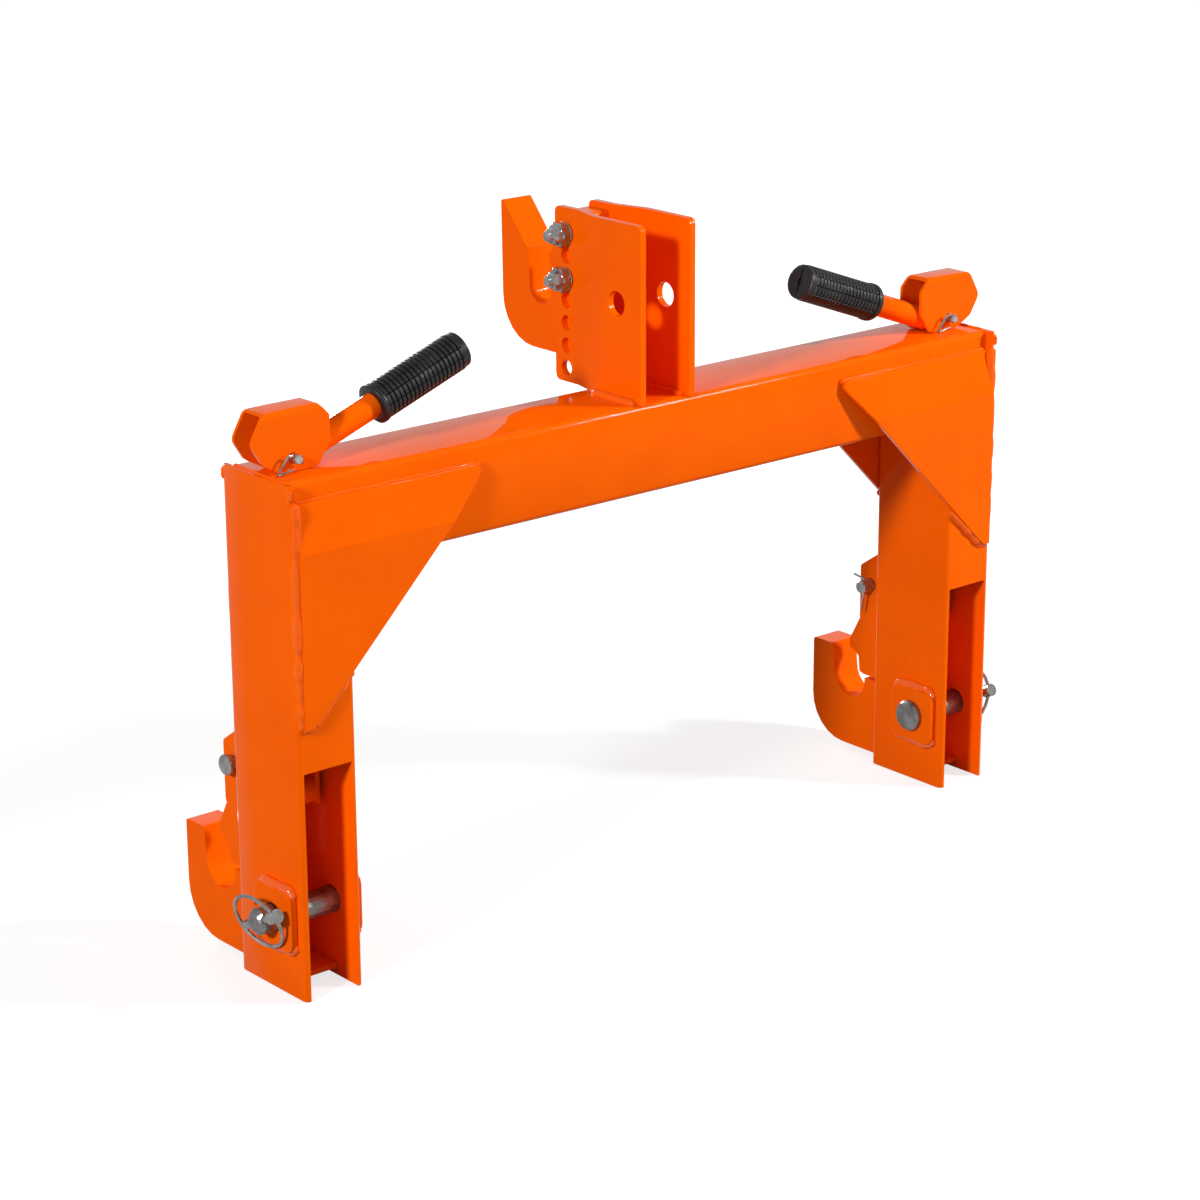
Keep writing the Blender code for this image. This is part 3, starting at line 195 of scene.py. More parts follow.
def plated(name, bright, dull, rough_low, rough_high, grain, stretch=None, depth=0.00003):
    """Metal with cloudy brightness and uneven polish, its grain drawn out if asked."""
    material, tree, shader, place = new_material(name, PLATING_METALLIC)
    cloud = pattern(tree, place, 90.0, 5.0, 0.6)
    link(tree, blend_of(tree, cloud, "Fac", dull, bright, 0.3, 0.7), "Color", shader, "Base Color")
    streak = pattern(tree, place, grain, 3.0, 0.6, stretch)
    link(tree, spread(tree, streak, "Fac", rough_low, rough_high), "Result", shader, "Roughness")
    bump_from(tree, streak, "Fac", shader, depth, 0.5)
    return material


def rubber(name):
    """Black moulded rubber, a little dusty."""
    material, tree, shader, place = new_material(name, 0.0, specular=0.4)
    dust = pattern(tree, place, 160.0, 4.0)
    link(tree, blend_of(tree, dust, "Fac", RUBBER, RUBBER_DUST, 0.4, 0.8), "Color", shader,
         "Base Color")
    link(tree, spread(tree, dust, "Fac", 0.30, 0.44), "Result", shader, "Roughness")
    skin = pattern(tree, place, 2400.0, 2.0)
    bump_from(tree, skin, "Fac", shader, 0.00004, 0.5)
    return material


def nylon(name):
    """Pale plastic of the lock nuts' inserts."""
    material, tree, shader, place = new_material(name, 0.0)
    cloud = pattern(tree, place, 300.0)
    link(tree, blend_of(tree, cloud, "Fac", NYLON_SHADE, NYLON), "Color", shader, "Base Color")
    link(tree, spread(tree, cloud, "Fac", 0.35, 0.5), "Result", shader, "Roughness")
    return material


PAINT = paint("powder_coat", COAT_FACE_ON)
WELD_PAINT = paint("powder_coat_on_weld", COAT_ON_WELD, LUMP_DEPTH_ON_WELD)
BOSS_WELD_PAINT = paint("powder_coat_on_boss_weld", COAT_ON_BOSS_WELD, LUMP_DEPTH_ON_BOSS_WELD)
ZINC_PLATE = plated("zinc_plate", ZINC, ZINC_WARM, 0.09, 0.20, 420.0, depth=0.00007)
TURNED = plated("turned_steel", STEEL, STEEL_DARK, 0.22, 0.36, 60.0, (40.0, 1.0, 1.0), 0.00006)
SPRING = plated("spring_wire", SPRING_EDGE, SPRING_COLOUR, 0.32, 0.5, 300.0)
GRIP = rubber("grip_rubber")
LOCK_RING = nylon("lock_ring")
FINISH_OF = {
    "orange_paint": PAINT,
    "zinc_plated_steel": ZINC_PLATE,
    "bare_steel": TURNED,
    "spring_steel": SPRING,
    "black_rubber": GRIP,
}


# Pieces

def put(name, mesh, material, body):
    """New piece with a finish, riding on a body."""
    piece = bpy.data.objects.new(name, mesh)
    WORLD.objects.link(piece)
    mesh.materials.clear()
    mesh.materials.append(material)
    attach(piece, body)
    return piece


def mesh_from(name, shape):
    mesh = bpy.data.meshes.new(name)
    bmesh.ops.recalc_face_normals(shape, faces=shape.faces)
    shape.to_mesh(mesh)
    shape.free()
    return mesh


def soften(mesh, angle):
    """Smooth shading, but sharp where faces meet at more than an angle."""
    mesh.shade_smooth()
    mesh.set_sharp_from_angle(angle=angle)


EDGE_SEGMENTS = 2
EDGE_ANGLE = radians(38)
WELDED_POINTS = 2e-6
FLAT_ANGLE = radians(0.6)


def rounded_copy(node, width):
    """Copy of a CAD node with its edges rounded as a sheared or cast edge under paint is."""
    shape = bmesh.new()
    shape.from_mesh(frame["nodes"][node].data)
    bmesh.ops.remove_doubles(shape, verts=shape.verts, dist=WELDED_POINTS)
    bmesh.ops.dissolve_limit(shape, angle_limit=FLAT_ANGLE, verts=shape.verts,
                             edges=shape.edges)
    mesh = mesh_from("dressed_" + node, shape)
    soften(mesh, EDGE_ANGLE)
    slot = SLOT_OF[node]
    piece = put("dressed_" + node, mesh, FINISH_OF[slot], BODY_OF[node])
    bevel = piece.modifiers.new("edges", "BEVEL")
    bevel.width = width
    bevel.segments = EDGE_SEGMENTS
    bevel.limit_method = "ANGLE"
    bevel.angle_limit = EDGE_ANGLE
    bevel.miter_outer = "MITER_ARC"
    bevel.harden_normals = True
    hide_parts(node)


def frames_along(points):
    """Two directions square to a path at each of its points, without twist."""
    result = []
    across = None
    for i, point in enumerate(points):
        ahead = points[min(i + 1, len(points) - 1)]
        behind = points[max(i - 1, 0)]
        run = (ahead - behind).normalized()
        if across is None:
            hint = Vector((0, 0, 1)) if abs(run.z) < 0.9 else Vector((1, 0, 0))
            across = run.cross(hint).normalized()
        else:
            across = (across - run * across.dot(run)).normalized()
        result.append((across, run.cross(across)))
    return result


def resample(corners, step):
    """Points at even steps along a path of straight stretches."""
    corners = [Vector(corner) for corner in corners]
    lengths = [(b - a).length for a, b in zip(corners, corners[1:])]
    total = sum(lengths)
    count = max(3, int(total / step))
    points = []
    for i in range(count + 1):
        distance = total * i / count
        for a, b, length in zip(corners, corners[1:], lengths):
            if distance <= length or b is corners[-1]:
                points.append(a.lerp(b, min(1.0, distance / length)))
                break
            distance -= length
    return points


TUBE_SIDES = 10


def swept(name, points, radii):
    """Closed tube along points with its own radius at each."""
    shape = bmesh.new()
    rings = []
    for point, radius, (across, up) in zip(points, radii, frames_along(points)):
        ring = []
        for k in range(TUBE_SIDES):
            angle = 2 * pi * k / TUBE_SIDES
            offset = (across * cos(angle) + up * sin(angle)) * radius
            ring.append(shape.verts.new(point + offset))
        rings.append(ring)
    for near, far in zip(rings, rings[1:]):
        for k in range(TUBE_SIDES):
            shape.faces.new((near[k], near[k - 1], far[k - 1], far[k]))
    shape.faces.new(rings[0])
    shape.faces.new(rings[-1][::-1])
    return mesh_from(name, shape)


WELD_STEP = 0.0007
RIPPLE = 0.0023
RIPPLE_SHARE = 0.05
LUMP_STEPS = 11
LUMP_SHARE = 0.09
SWAY_SHARE = 0.10
BEAD_SHARE = 0.93
TAPER_STEPS = 5
TAPER_START = 0.4
WELD_SOFTEN_ANGLE = radians(70)


def seed_of(text):
    return sum((i + 1) * ord(letter) for i, letter in enumerate(text))


def weld(name, corners, radius, seed, uneven=1.0, material=WELD_PAINT):
    """Fillet weld bead with overlapping ripples, a little uneven, tapering at both ends."""
    random = Random(seed)
    points = resample(corners, WELD_STEP)
    phase = random.random()
    lumps = [random.uniform(-1, 1) for _ in range(len(points) // LUMP_STEPS + 3)]
    sways = [Vector([random.uniform(-1, 1) for _ in range(3)]) for _ in lumps]
    radii = []
    for i, point in enumerate(points):
        cell = i / LUMP_STEPS
        share = 0.5 - 0.5 * cos(pi * (cell % 1))
        lump = lumps[int(cell)] * (1 - share) + lumps[int(cell) + 1] * share
        ripple = (i * WELD_STEP / RIPPLE + phase) % 1
        end = min(1.0, min(i, len(points) - 1 - i) / TAPER_STEPS + TAPER_START)
        skin = BEAD_SHARE + RIPPLE_SHARE * (1 - ripple) + LUMP_SHARE * uneven * lump
        radii.append(radius * end * skin)
        sway = sways[int(cell)].lerp(sways[int(cell) + 1], share)
        points[i] = point + sway * radius * SWAY_SHARE * uneven
    mesh = swept(name, points, radii)
    soften(mesh, WELD_SOFTEN_ANGLE)
    put(name, mesh, material, "frame")


TURNED_SOFTEN_ANGLE = radians(32)
THREAD_SOFTEN_ANGLE = radians(30)
THREAD_SEGMENTS = 36
THREAD_ROWS_PER_TURN = 8
THREAD_FADE_TURNS = 0.7
THREAD_FADE_DEPTH = 1.6


def turn_onto(shape, axis, centre):
    """Turns a shape made along Z onto an axis and moves it to its place."""
    turn = Vector((0, 0, 1)).rotation_difference(Vector(axis)).to_matrix().to_4x4()
    bmesh.ops.transform(shape, matrix=Matrix.Translation(centre) @ turn, verts=shape.verts)


def turned(name, profile, centre, material, segments):
    """Round fastener piece about X from (radius, distance) points."""
    shape = bmesh.new()
    corners = [shape.verts.new((radius, 0, height)) for radius, height in profile]
    for a, b in zip(corners, corners[1:]):
        shape.edges.new((a, b))
    bmesh.ops.spin(shape, geom=shape.verts[:] + shape.edges[:], cent=(0, 0, 0), axis=(0, 0, 1),
                   angle=2 * pi, steps=segments, use_merge=True)
    bmesh.ops.remove_doubles(shape, verts=shape.verts, dist=1e-7)
    turn_onto(shape, (1, 0, 0), centre)
    mesh = mesh_from(name, shape)
    soften(mesh, TURNED_SOFTEN_ANGLE)
    return put(name, mesh, material, "frame")


def thread(name, centre, start, end, radius, pitch, depth):
    """Screw thread towards -X, a cylinder whose skin rises and falls along a helix."""
    rows = max(4, int((end - start) / pitch * THREAD_ROWS_PER_TURN))
    shape = bmesh.new()
    grid = []
    for i in range(rows + 1):
        height = start + (end - start) * i / rows
        fade = min(1.0, (end - height) / (pitch * THREAD_FADE_TURNS))
        ring = []
        for k in range(THREAD_SEGMENTS):
            turn = height / pitch - k / THREAD_SEGMENTS
            wave = abs((turn % 1) - 0.5) * 2
            local = radius - depth * wave - THREAD_FADE_DEPTH * depth * (1 - fade)
            angle = 2 * pi * k / THREAD_SEGMENTS
            ring.append(shape.verts.new((local * cos(angle), local * sin(angle), height)))
        grid.append(ring)
    for near, far in zip(grid, grid[1:]):
        for k in range(THREAD_SEGMENTS):
            shape.faces.new((near[k - 1], near[k], far[k], far[k - 1]))
    shape.faces.new(grid[0][::-1])
    shape.faces.new(grid[-1])
    turn_onto(shape, (-1, 0, 0), centre)
    mesh = mesh_from(name, shape)
    soften(mesh, THREAD_SOFTEN_ANGLE)
    put(name, mesh, ZINC_PLATE, "frame")


def middle(node):
    low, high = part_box(node)
    return (Vector(low) + Vector(high)) / 2


# Painted steel with rounded edges

EDGE_WIDTHS = {"beam": 0.0008, "top_hook": 0.0016}
SIDE_EDGE_WIDTHS = {
    "leg": 0.0007, "front_gusset": 0.0007, "rear_gusset": 0.0007, "outer_boss": 0.0011,
    "inner_boss": 0.0011, "bottom_plate": 0.0006, "lower_hook": 0.0030, "latch_lug_a": 0.0006,
    "latch_lug_b": 0.0006, "latch": 0.0014, "lever_head": 0.0006, "lever_bar": 0.0006,
    "mast_plate": 0.0008,
}
for side, _ in SIDES:
    EDGE_WIDTHS.update({f"{kind}_{side}": width for kind, width in SIDE_EDGE_WIDTHS.items()})


def finish_node(node, finish):
    """Gives a CAD node that is shown as it is its finish."""
    target = frame["nodes"][node]
    if not target.material_slots:
        target.data.materials.append(finish)
    for slot in target.material_slots:
        slot.material = finish


for node, width in EDGE_WIDTHS.items():
    rounded_copy(node, width)
for node, slot in SLOT_OF.items():
    if node not in EDGE_WIDTHS:
        finish_node(node, FINISH_OF[slot])


# Welds, as paths along the seams of the CAD pieces. An inset keeps a bead's end short of an
# edge, a bed sets its middle a little proud of the wall.

leg_low, leg_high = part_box("leg_left")
LEG_FRONT = leg_low[1]
LEG_BACK = leg_high[1]
LEG_INNER = min(abs(leg_low[0]), abs(leg_high[0]))
LEG_OUTER = max(abs(leg_low[0]), abs(leg_high[0]))
beam_low, beam_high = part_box("beam")

BOSS_BED = 0.0008
BOSS_BEAD = 0.0048
BOSS_UNEVEN = 1.8
BOSS_CORNER_RUN = 0.007
BOSS_CORNER_DROP = 0.006
BOSS_END_INSET = 0.001
BOSS_RISE = 0.0004

# Sum of the distance from the middle and the height along the gussets' slanted edge
GUSSET_EDGE_SUM = 0.592
GUSSET_WELD_TOP = 0.404
GUSSET_BED = 0.0008
GUSSET_EDGE_BEAD = 0.0039
GUSSET_EDGE_INSET = 0.002
GUSSET_EDGE_SINK = 0.0018
GUSSET_EDGE_FOOT_RISE = 0.0012
GUSSET_FOOT_BEAD = 0.0046
GUSSET_FOOT_INSET = 0.004
GUSSET_FOOT_PROUD = 0.0010
GUSSET_FOOT_RISES = (0.0006, 0.0004)
GUSSET_SIDE_BEAD = {"front": 0.0046, "rear": 0.0032}
GUSSET_SIDE_BEND = 0.060
GUSSET_SIDE_INSET = 0.0002
GUSSET_SIDE_PROUD = 0.0004
GUSSET_SIDE_DROP = 0.0010
GUSSET_BLOB_BEAD = 0.0045
# Ends of the blob at a front gusset's foot, as (inset, rise)
GUSSET_BLOB_ENDS = ((0.0034, 0.0086), (0.0014, 0.0066))
GUSSET_TOP_BEAD = 0.0017
GUSSET_TOP_BED = 0.0010
GUSSET_TOP_RISE = 0.0004
GUSSET_TOP_INSETS = (0.004, 0.002)
GUSSET_TIP_BEAD = 0.0032
GUSSET_TIP_BED = 0.0016
# Ends of the bead at a gusset's tip, as (outwards, rise)
GUSSET_TIP_ENDS = ((0.004, 0.0002), (-0.0014, -0.0016))

MAST_THICKNESS = 0.006
MAST_BED = 0.0010
MAST_BEAD = 0.0042
MAST_INNER_BEAD = 0.0030
MAST_BEND_START = 0.054
MAST_BEND_END = 0.064
MAST_INNER_END = 0.052
MAST_END_INSET = 0.004
MAST_INNER_INSET = 0.005
MAST_WIDE_PROUD = 0.0014
MAST_NARROW_INSET = 0.0066
MAST_INNER_BED = 0.0012

BEAM_END_BEAD = 0.0024
BEAM_END_PROUD = 0.0004
BEAM_END_SINK = 0.0008
BEAM_END_INSETS = (0.003, 0.004)
CORNER_BEAD = 0.0019
CORNER_INSET = 0.0012
CORNER_BED = 0.0004
CORNER_BOTTOM = 0.406
CORNER_TOP = 0.4155

WALL_BED = 0.0008
LEG_BED = 0.0010
LUG_BEAD = 0.0022
LUG_INSET = 0.006
HOOK_BEAD = 0.0026
HOOK_WELD_BOTTOM = 0.008
HOOK_WELD_TOP = 0.072


def boss_welds(side, sign):
    """Lumpy beads above and below each boss plate, bent round its corners."""
    for place, direction in (("outer", sign), ("inner", -sign)):
        low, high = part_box(f"{place}_boss_{side}")
        x = (low[0] if direction > 0 else high[0]) + direction * BOSS_BED
        y = (low[1] + high[1]) / 2
        reach = (high[1] - low[1]) / 2
        for edge, z, out in (("top", high[2], 1), ("bottom", low[2], -1)):
            ends = z - out * BOSS_CORNER_DROP
            crest = z + out * BOSS_RISE
            weld(f"weld_{place}_boss_{edge}_{side}",
                 [(x, y - reach + BOSS_END_INSET, ends), (x, y - reach + BOSS_CORNER_RUN, crest),
                  (x, y + reach - BOSS_CORNER_RUN, crest), (x, y + reach - BOSS_END_INSET, ends)],
                 BOSS_BEAD, seed_of(place + edge + side), BOSS_UNEVEN, BOSS_WELD_PAINT)


def gusset_welds(side, sign):
    """Beads round a gusset: slanted edge, foot, outer side, top edge and tip."""
    for place, outward, face in (("front", -1, LEG_FRONT), ("rear", 1, LEG_BACK)):
        low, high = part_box(f"{place}_gusset_{side}")
        deep = face - outward * GUSSET_BED
        foot = low[2]
        outer = max(abs(low[0]), abs(high[0]))
        inner_end = min(abs(low[0]), abs(high[0]))
        inner_leg = LEG_INNER + GUSSET_EDGE_INSET
        foot_x = GUSSET_EDGE_SUM - foot
        near, far = GUSSET_FOOT_RISES
        weld(f"weld_{place}_gusset_edge_{side}",
             [(sign * inner_leg, face, GUSSET_EDGE_SUM - inner_leg - GUSSET_EDGE_SINK),
              (sign * (foot_x - GUSSET_EDGE_INSET), face, foot + GUSSET_EDGE_FOOT_RISE)],
             GUSSET_EDGE_BEAD, seed_of(place + side))
        weld(f"weld_{place}_gusset_foot_{side}",
             [(sign * (foot_x - GUSSET_FOOT_INSET), deep, foot + near),
              (sign * (outer + GUSSET_FOOT_PROUD), deep, foot + far)],
             GUSSET_FOOT_BEAD, seed_of(place + "b" + side))
        weld(f"weld_{place}_gusset_side_{side}",
             [(sign * (outer - GUSSET_SIDE_INSET), deep, foot - GUSSET_SIDE_DROP),
              (sign * (outer + GUSSET_SIDE_PROUD), deep, foot + GUSSET_SIDE_BEND),
              (sign * (outer - GUSSET_SIDE_INSET), deep, GUSSET_WELD_TOP)],
             GUSSET_SIDE_BEAD[place], seed_of(place + "c" + side))
        if place == "front":
            weld(f"weld_gusset_blob_{side}",
                 [(sign * (outer - inset), deep, foot + rise) for inset, rise in GUSSET_BLOB_ENDS],
                 GUSSET_BLOB_BEAD, seed_of(place + "f" + side))
        beam_face = low[1] if place == "rear" else high[1]
        y = beam_face + outward * GUSSET_TOP_BED
        z = high[2] + GUSSET_TOP_RISE
        at_outer, at_inner = GUSSET_TOP_INSETS
        weld(f"weld_{place}_gusset_top_{side}",
             [(sign * (outer - at_outer), y, z), (sign * (inner_end + at_inner), y, z)],
             GUSSET_TOP_BEAD, seed_of(place + "d" + side))
        y = beam_face + outward * GUSSET_TIP_BED
        weld(f"weld_{place}_gusset_tip_{side}",
             [(sign * (inner_end + out), y, high[2] + rise) for out, rise in GUSSET_TIP_ENDS],
             GUSSET_TIP_BEAD, seed_of(place + "e" + side))


def mast_welds(side, sign):
    """Beads between the beam and a mast plate, the outer one following its bend."""
    low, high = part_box("mast_plate_" + side)
    z = beam_high[2] + MAST_BED
    outer = max(abs(low[0]), abs(high[0]))
    wide = sign * (outer + MAST_WIDE_PROUD)
    narrow = sign * (outer - MAST_NARROW_INSET)
    weld("weld_mast_" + side,
         [(wide, beam_low[1] + MAST_END_INSET, z), (wide, low[1] + MAST_BEND_START, z),
          (narrow, low[1] + MAST_BEND_END, z), (narrow, beam_high[1] - MAST_END_INSET, z)],
         MAST_BEAD, seed_of("mast" + side))
    inner = sign * (outer - MAST_THICKNESS - MAST_INNER_BED)
    weld("weld_mast_inner_" + side,
         [(inner, beam_low[1] + MAST_INNER_INSET, z), (inner, low[1] + MAST_INNER_END, z)],
         MAST_INNER_BEAD, seed_of("mast_inner" + side))


def beam_end_welds(side, sign):
    """Bead across the beam's end, and short ones at the leg's upper corners."""
    x = sign * (beam_high[0] + BEAM_END_PROUD)
    z = beam_high[2] - BEAM_END_SINK
    front, back = BEAM_END_INSETS
    weld("weld_beam_end_" + side, [(x, beam_low[1] + front, z), (x, beam_high[1] - back, z)],
         BEAM_END_BEAD, seed_of("beam" + side))
    corner = sign * (LEG_OUTER - CORNER_INSET)
    for letter, y in (("front", LEG_FRONT + CORNER_BED), ("back", LEG_BACK - CORNER_BED)):
        weld(f"weld_corner_{letter}_{side}", [(corner, y, CORNER_BOTTOM), (corner, y, CORNER_TOP)],
             CORNER_BEAD, seed_of("corner" + letter + side))


def lug_and_hook_welds(side):
    """Upright beads where the latch lugs and the lower hook meet the leg's back face."""
    y = LEG_BACK + LEG_BED
    for letter, direction in (("a", -1), ("b", 1)):
        low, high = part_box(f"latch_lug_{letter}_{side}")
        x = high[0] + WALL_BED if direction > 0 else low[0] - WALL_BED
        weld(f"weld_lug_{letter}_{side}", [(x, y, low[2] + LUG_INSET), (x, y, high[2] - LUG_INSET)],
             LUG_BEAD, seed_of("lug" + letter + side))
    low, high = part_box("lower_hook_" + side)
    for letter, x in (("a", low[0] - WALL_BED), ("b", high[0] + WALL_BED)):
        weld(f"weld_hook_{letter}_{side}", [(x, y, HOOK_WELD_BOTTOM), (x, y, HOOK_WELD_TOP)],
             HOOK_BEAD, seed_of("hook" + letter + side))


for side, sign in SIDES:
    boss_welds(side, sign)
    gusset_welds(side, sign)
    mast_welds(side, sign)
    beam_end_welds(side, sign)
    lug_and_hook_welds(side)


# Bolts and lock nuts

HEX_STEPS = 72
HEX_CHAMFER = 0.0012
HEX_CHAMFER_SHARE = 0.985
HEX_SOFTEN_ANGLE = radians(25)
BOLT_RADIUS = 0.006
BOLT_HEAD_HEIGHT = 0.0075
SHANK_END = -0.022
THREAD_START = 0.0218
THREAD_RADIUS = 0.0053
THREAD_PITCH = 0.00175
THREAD_DEPTH = 0.0007
NUT_COLLAR = 0.0055
INSERT_START = 0.0003
INSERT_DEPTH = 0.0020
INSERT_GAP = 0.0001
SHANK_OVERLAP = 0.001
COLLAR_OVERLAP = 0.0002
# Rounded outside of the nut's collar, as (inset from the flats, distance from its end)
COLLAR_PROFILE = ((0.0016, 0.0022), (0.0024, 0.0005), (0.0029, 0.0))
# Countersunk mouth of the collar, as (beyond the bolt's radius, distance from its end)
COLLAR_MOUTH = ((0.0001, 0.0), (-0.0002, 0.0006))
COLLAR_WIDEST_INSET = 0.0010
COLLAR_SEAT = 0.0006
BOLT_SEGMENTS = 32
INSERT_SEGMENTS = 40
COLLAR_SEGMENTS = 48
WASHER_RADIUS = 0.0099
WASHER_PLAY = 0.0003
WASHER_ROUNDING = 0.0004


def chamfered_hex(name, flats, start, end, chamfer_start, centre):
    """Hexagon along X with its corners turned off at its end, and at its start if asked."""
    shape = bmesh.new()
    layers = []
    for height, rounded in ((start, chamfer_start), (start + HEX_CHAMFER, False),
                            (end - HEX_CHAMFER, False), (end, True)):
        ring = []
        for k in range(HEX_STEPS):
            angle = 2 * pi * k / HEX_STEPS
            sector = (angle + pi / 6) % (pi / 3) - pi / 6
            radius = flats / 2 / cos(sector)
            if rounded:
                radius = min(radius, flats / 2 * HEX_CHAMFER_SHARE)
            ring.append(shape.verts.new((height, radius * cos(angle + pi / 2),
                                         radius * sin(angle + pi / 2))))
        layers.append(ring)
    for near, far in zip(layers, layers[1:]):
        for k in range(HEX_STEPS):
            shape.faces.new((near[k - 1], near[k], far[k], far[k - 1]))
    shape.faces.new(layers[0][::-1])
    shape.faces.new(layers[-1])
    bmesh.ops.translate(shape, verts=shape.verts, vec=centre)
    mesh = mesh_from(name, shape)
    soften(mesh, HEX_SOFTEN_ANGLE)
    return put(name, mesh, ZINC_PLATE, "frame")


def dressed_bolt(place):
    """Hexagon bolt with its thread, collared lock nut with its insert, and washer."""
    bolt_low, bolt_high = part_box(place + "_bolt")
    nut_low, nut_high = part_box(place + "_nut")
    washer_low, washer_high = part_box(place + "_washer")
    centre = Vector((0, (bolt_low[1] + bolt_high[1]) / 2, (bolt_low[2] + bolt_high[2]) / 2))
    flats = nut_high[1] - nut_low[1]
    head_start = bolt_high[0] - BOLT_HEAD_HEIGHT
    head = chamfered_hex(place + "_bolt_head", flats, head_start, bolt_high[0], False, centre)
    shank = turned(place + "_bolt_shank", [
        (0, head_start + SHANK_OVERLAP), (BOLT_RADIUS, head_start + SHANK_OVERLAP),
        (BOLT_RADIUS, SHANK_END), (0, SHANK_END)], centre, ZINC_PLATE, BOLT_SEGMENTS)
    thread(place + "_bolt_thread", centre, THREAD_START, -bolt_low[0], THREAD_RADIUS,
           THREAD_PITCH, THREAD_DEPTH)
    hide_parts(place + "_bolt")
    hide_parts(place + "_bolt")

    nut = chamfered_hex(place + "_nut_body", flats, nut_low[0] + NUT_COLLAR, nut_high[0], True,
                        centre)
    nut_end = centre + Vector((nut_low[0], 0, 0))
    collar_top = NUT_COLLAR + COLLAR_OVERLAP
    turned(place + "_nut_collar", [
        (THREAD_RADIUS, collar_top), (flats / 2 - COLLAR_WIDEST_INSET, collar_top),
        *((flats / 2 - inset, distance) for inset, distance in COLLAR_PROFILE),
        *((BOLT_RADIUS + beyond, distance) for beyond, distance in COLLAR_MOUTH),
        (THREAD_RADIUS, COLLAR_SEAT), (THREAD_RADIUS, collar_top)],
        nut_end, ZINC_PLATE, COLLAR_SEGMENTS)
    rim = BOLT_RADIUS - INSERT_GAP
    turned(place + "_nut_insert", [
        (THREAD_RADIUS, INSERT_DEPTH), (rim, INSERT_DEPTH), (rim, INSERT_START),
        (THREAD_RADIUS, INSERT_START), (THREAD_RADIUS, INSERT_DEPTH)],
        nut_end, LOCK_RING, INSERT_SEGMENTS)
    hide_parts(place + "_nut")

    bore = BOLT_RADIUS + WASHER_PLAY
    outer = WASHER_RADIUS
    thickness = washer_high[0] - washer_low[0]
    washer = turned(place + "_washer_rounded", [
        (bore, 0), (outer - WASHER_ROUNDING, 0), (outer, WASHER_ROUNDING),
        (outer, thickness - WASHER_ROUNDING), (outer - WASHER_ROUNDING, thickness),
        (bore, thickness), (bore, 0)],
        centre + Vector((washer_low[0], 0, 0)), ZINC_PLATE, COLLAR_SEGMENTS)
    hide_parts(place + "_washer")


dressed_bolt("lower")
dressed_bolt("upper")


# Grips

LEVER_X = 0.3525
LEVER_HINGE_HEIGHT = 0.429
BAR_DROP = 0.0067
BAR_SLOPE = radians(20)
GRIP_REACH = 0.180
GRIP_END_GAP = 0.0003
GRIP_LENGTH = 0.090
GRIP_BORE = 0.0103
GRIP_BORE_DEPTH = 0.004
GRIP_SOFTEN_ANGLE = radians(45)
GRIP_ROWS = 320
GRIP_SEGMENTS = 144
GRIP_BODY = 0.0138
GRIP_TOP = 0.0157
GRIP_RING_PITCH = 0.0042
GRIP_RING_GAP = 0.05
GRIP_RING_FLANK = 0.10
GRIP_GROOVES = 12
GRIP_GROOVE_START = 0.84
GRIP_FLANGE_LENGTH = 0.005
GRIP_FLANGE_RADIUS = 0.0166
GRIP_FLANGE_ROUNDING = 0.0006
GRIP_PLAIN_END = 0.0060
GRIP_END_RADIUS = 0.0150
GRIP_END_ROUNDING = 0.0018
GRIP_SLIT_HALF_WIDTH = 0.0007
# Radius, distance along the grip and depth of the slit for each ring of its end face
GRIP_END_RINGS = (
    (0.0124, GRIP_LENGTH, 0.0), (0.0112, GRIP_LENGTH, 0.0), (0.0110, GRIP_LENGTH, 0.0014),
    (0.0070, GRIP_LENGTH, 0.0014), (0.0034, GRIP_LENGTH, 0.0014), (0.0032, GRIP_LENGTH, 0.0),
    (0.0028, GRIP_LENGTH - 0.0004, 0.0), (0.0026, GRIP_LENGTH - 0.0022, 0.0),
)


def grip_radius(distance, angle):
    """Skin of the moulded grip: flange, ringed and fluted middle, smooth rounded end."""
    if distance < GRIP_FLANGE_LENGTH:
        half = GRIP_FLANGE_LENGTH / 2
        return GRIP_FLANGE_RADIUS - GRIP_FLANGE_ROUNDING * (abs(distance - half) / half) ** 6
    if distance > GRIP_LENGTH - GRIP_PLAIN_END:
        edge = (distance - (GRIP_LENGTH - GRIP_END_ROUNDING)) / GRIP_END_ROUNDING
        return GRIP_END_RADIUS - (GRIP_END_ROUNDING * edge ** 4 if edge > 0 else 0.0)
    ring = (distance - GRIP_FLANGE_LENGTH) / GRIP_RING_PITCH % 1
    rib = min(1.0, max(0.0, (min(ring, 1 - ring) - GRIP_RING_GAP) / GRIP_RING_FLANK))
    flute = abs((angle / (2 * pi) * GRIP_GROOVES) % 1 - 0.5) * 2
    groove = 1.0 - max(0.0, flute - GRIP_GROOVE_START) / (1.0 - GRIP_GROOVE_START)
    return GRIP_BODY + (GRIP_TOP - GRIP_BODY) * rib * (0.5 + 0.5 * groove)


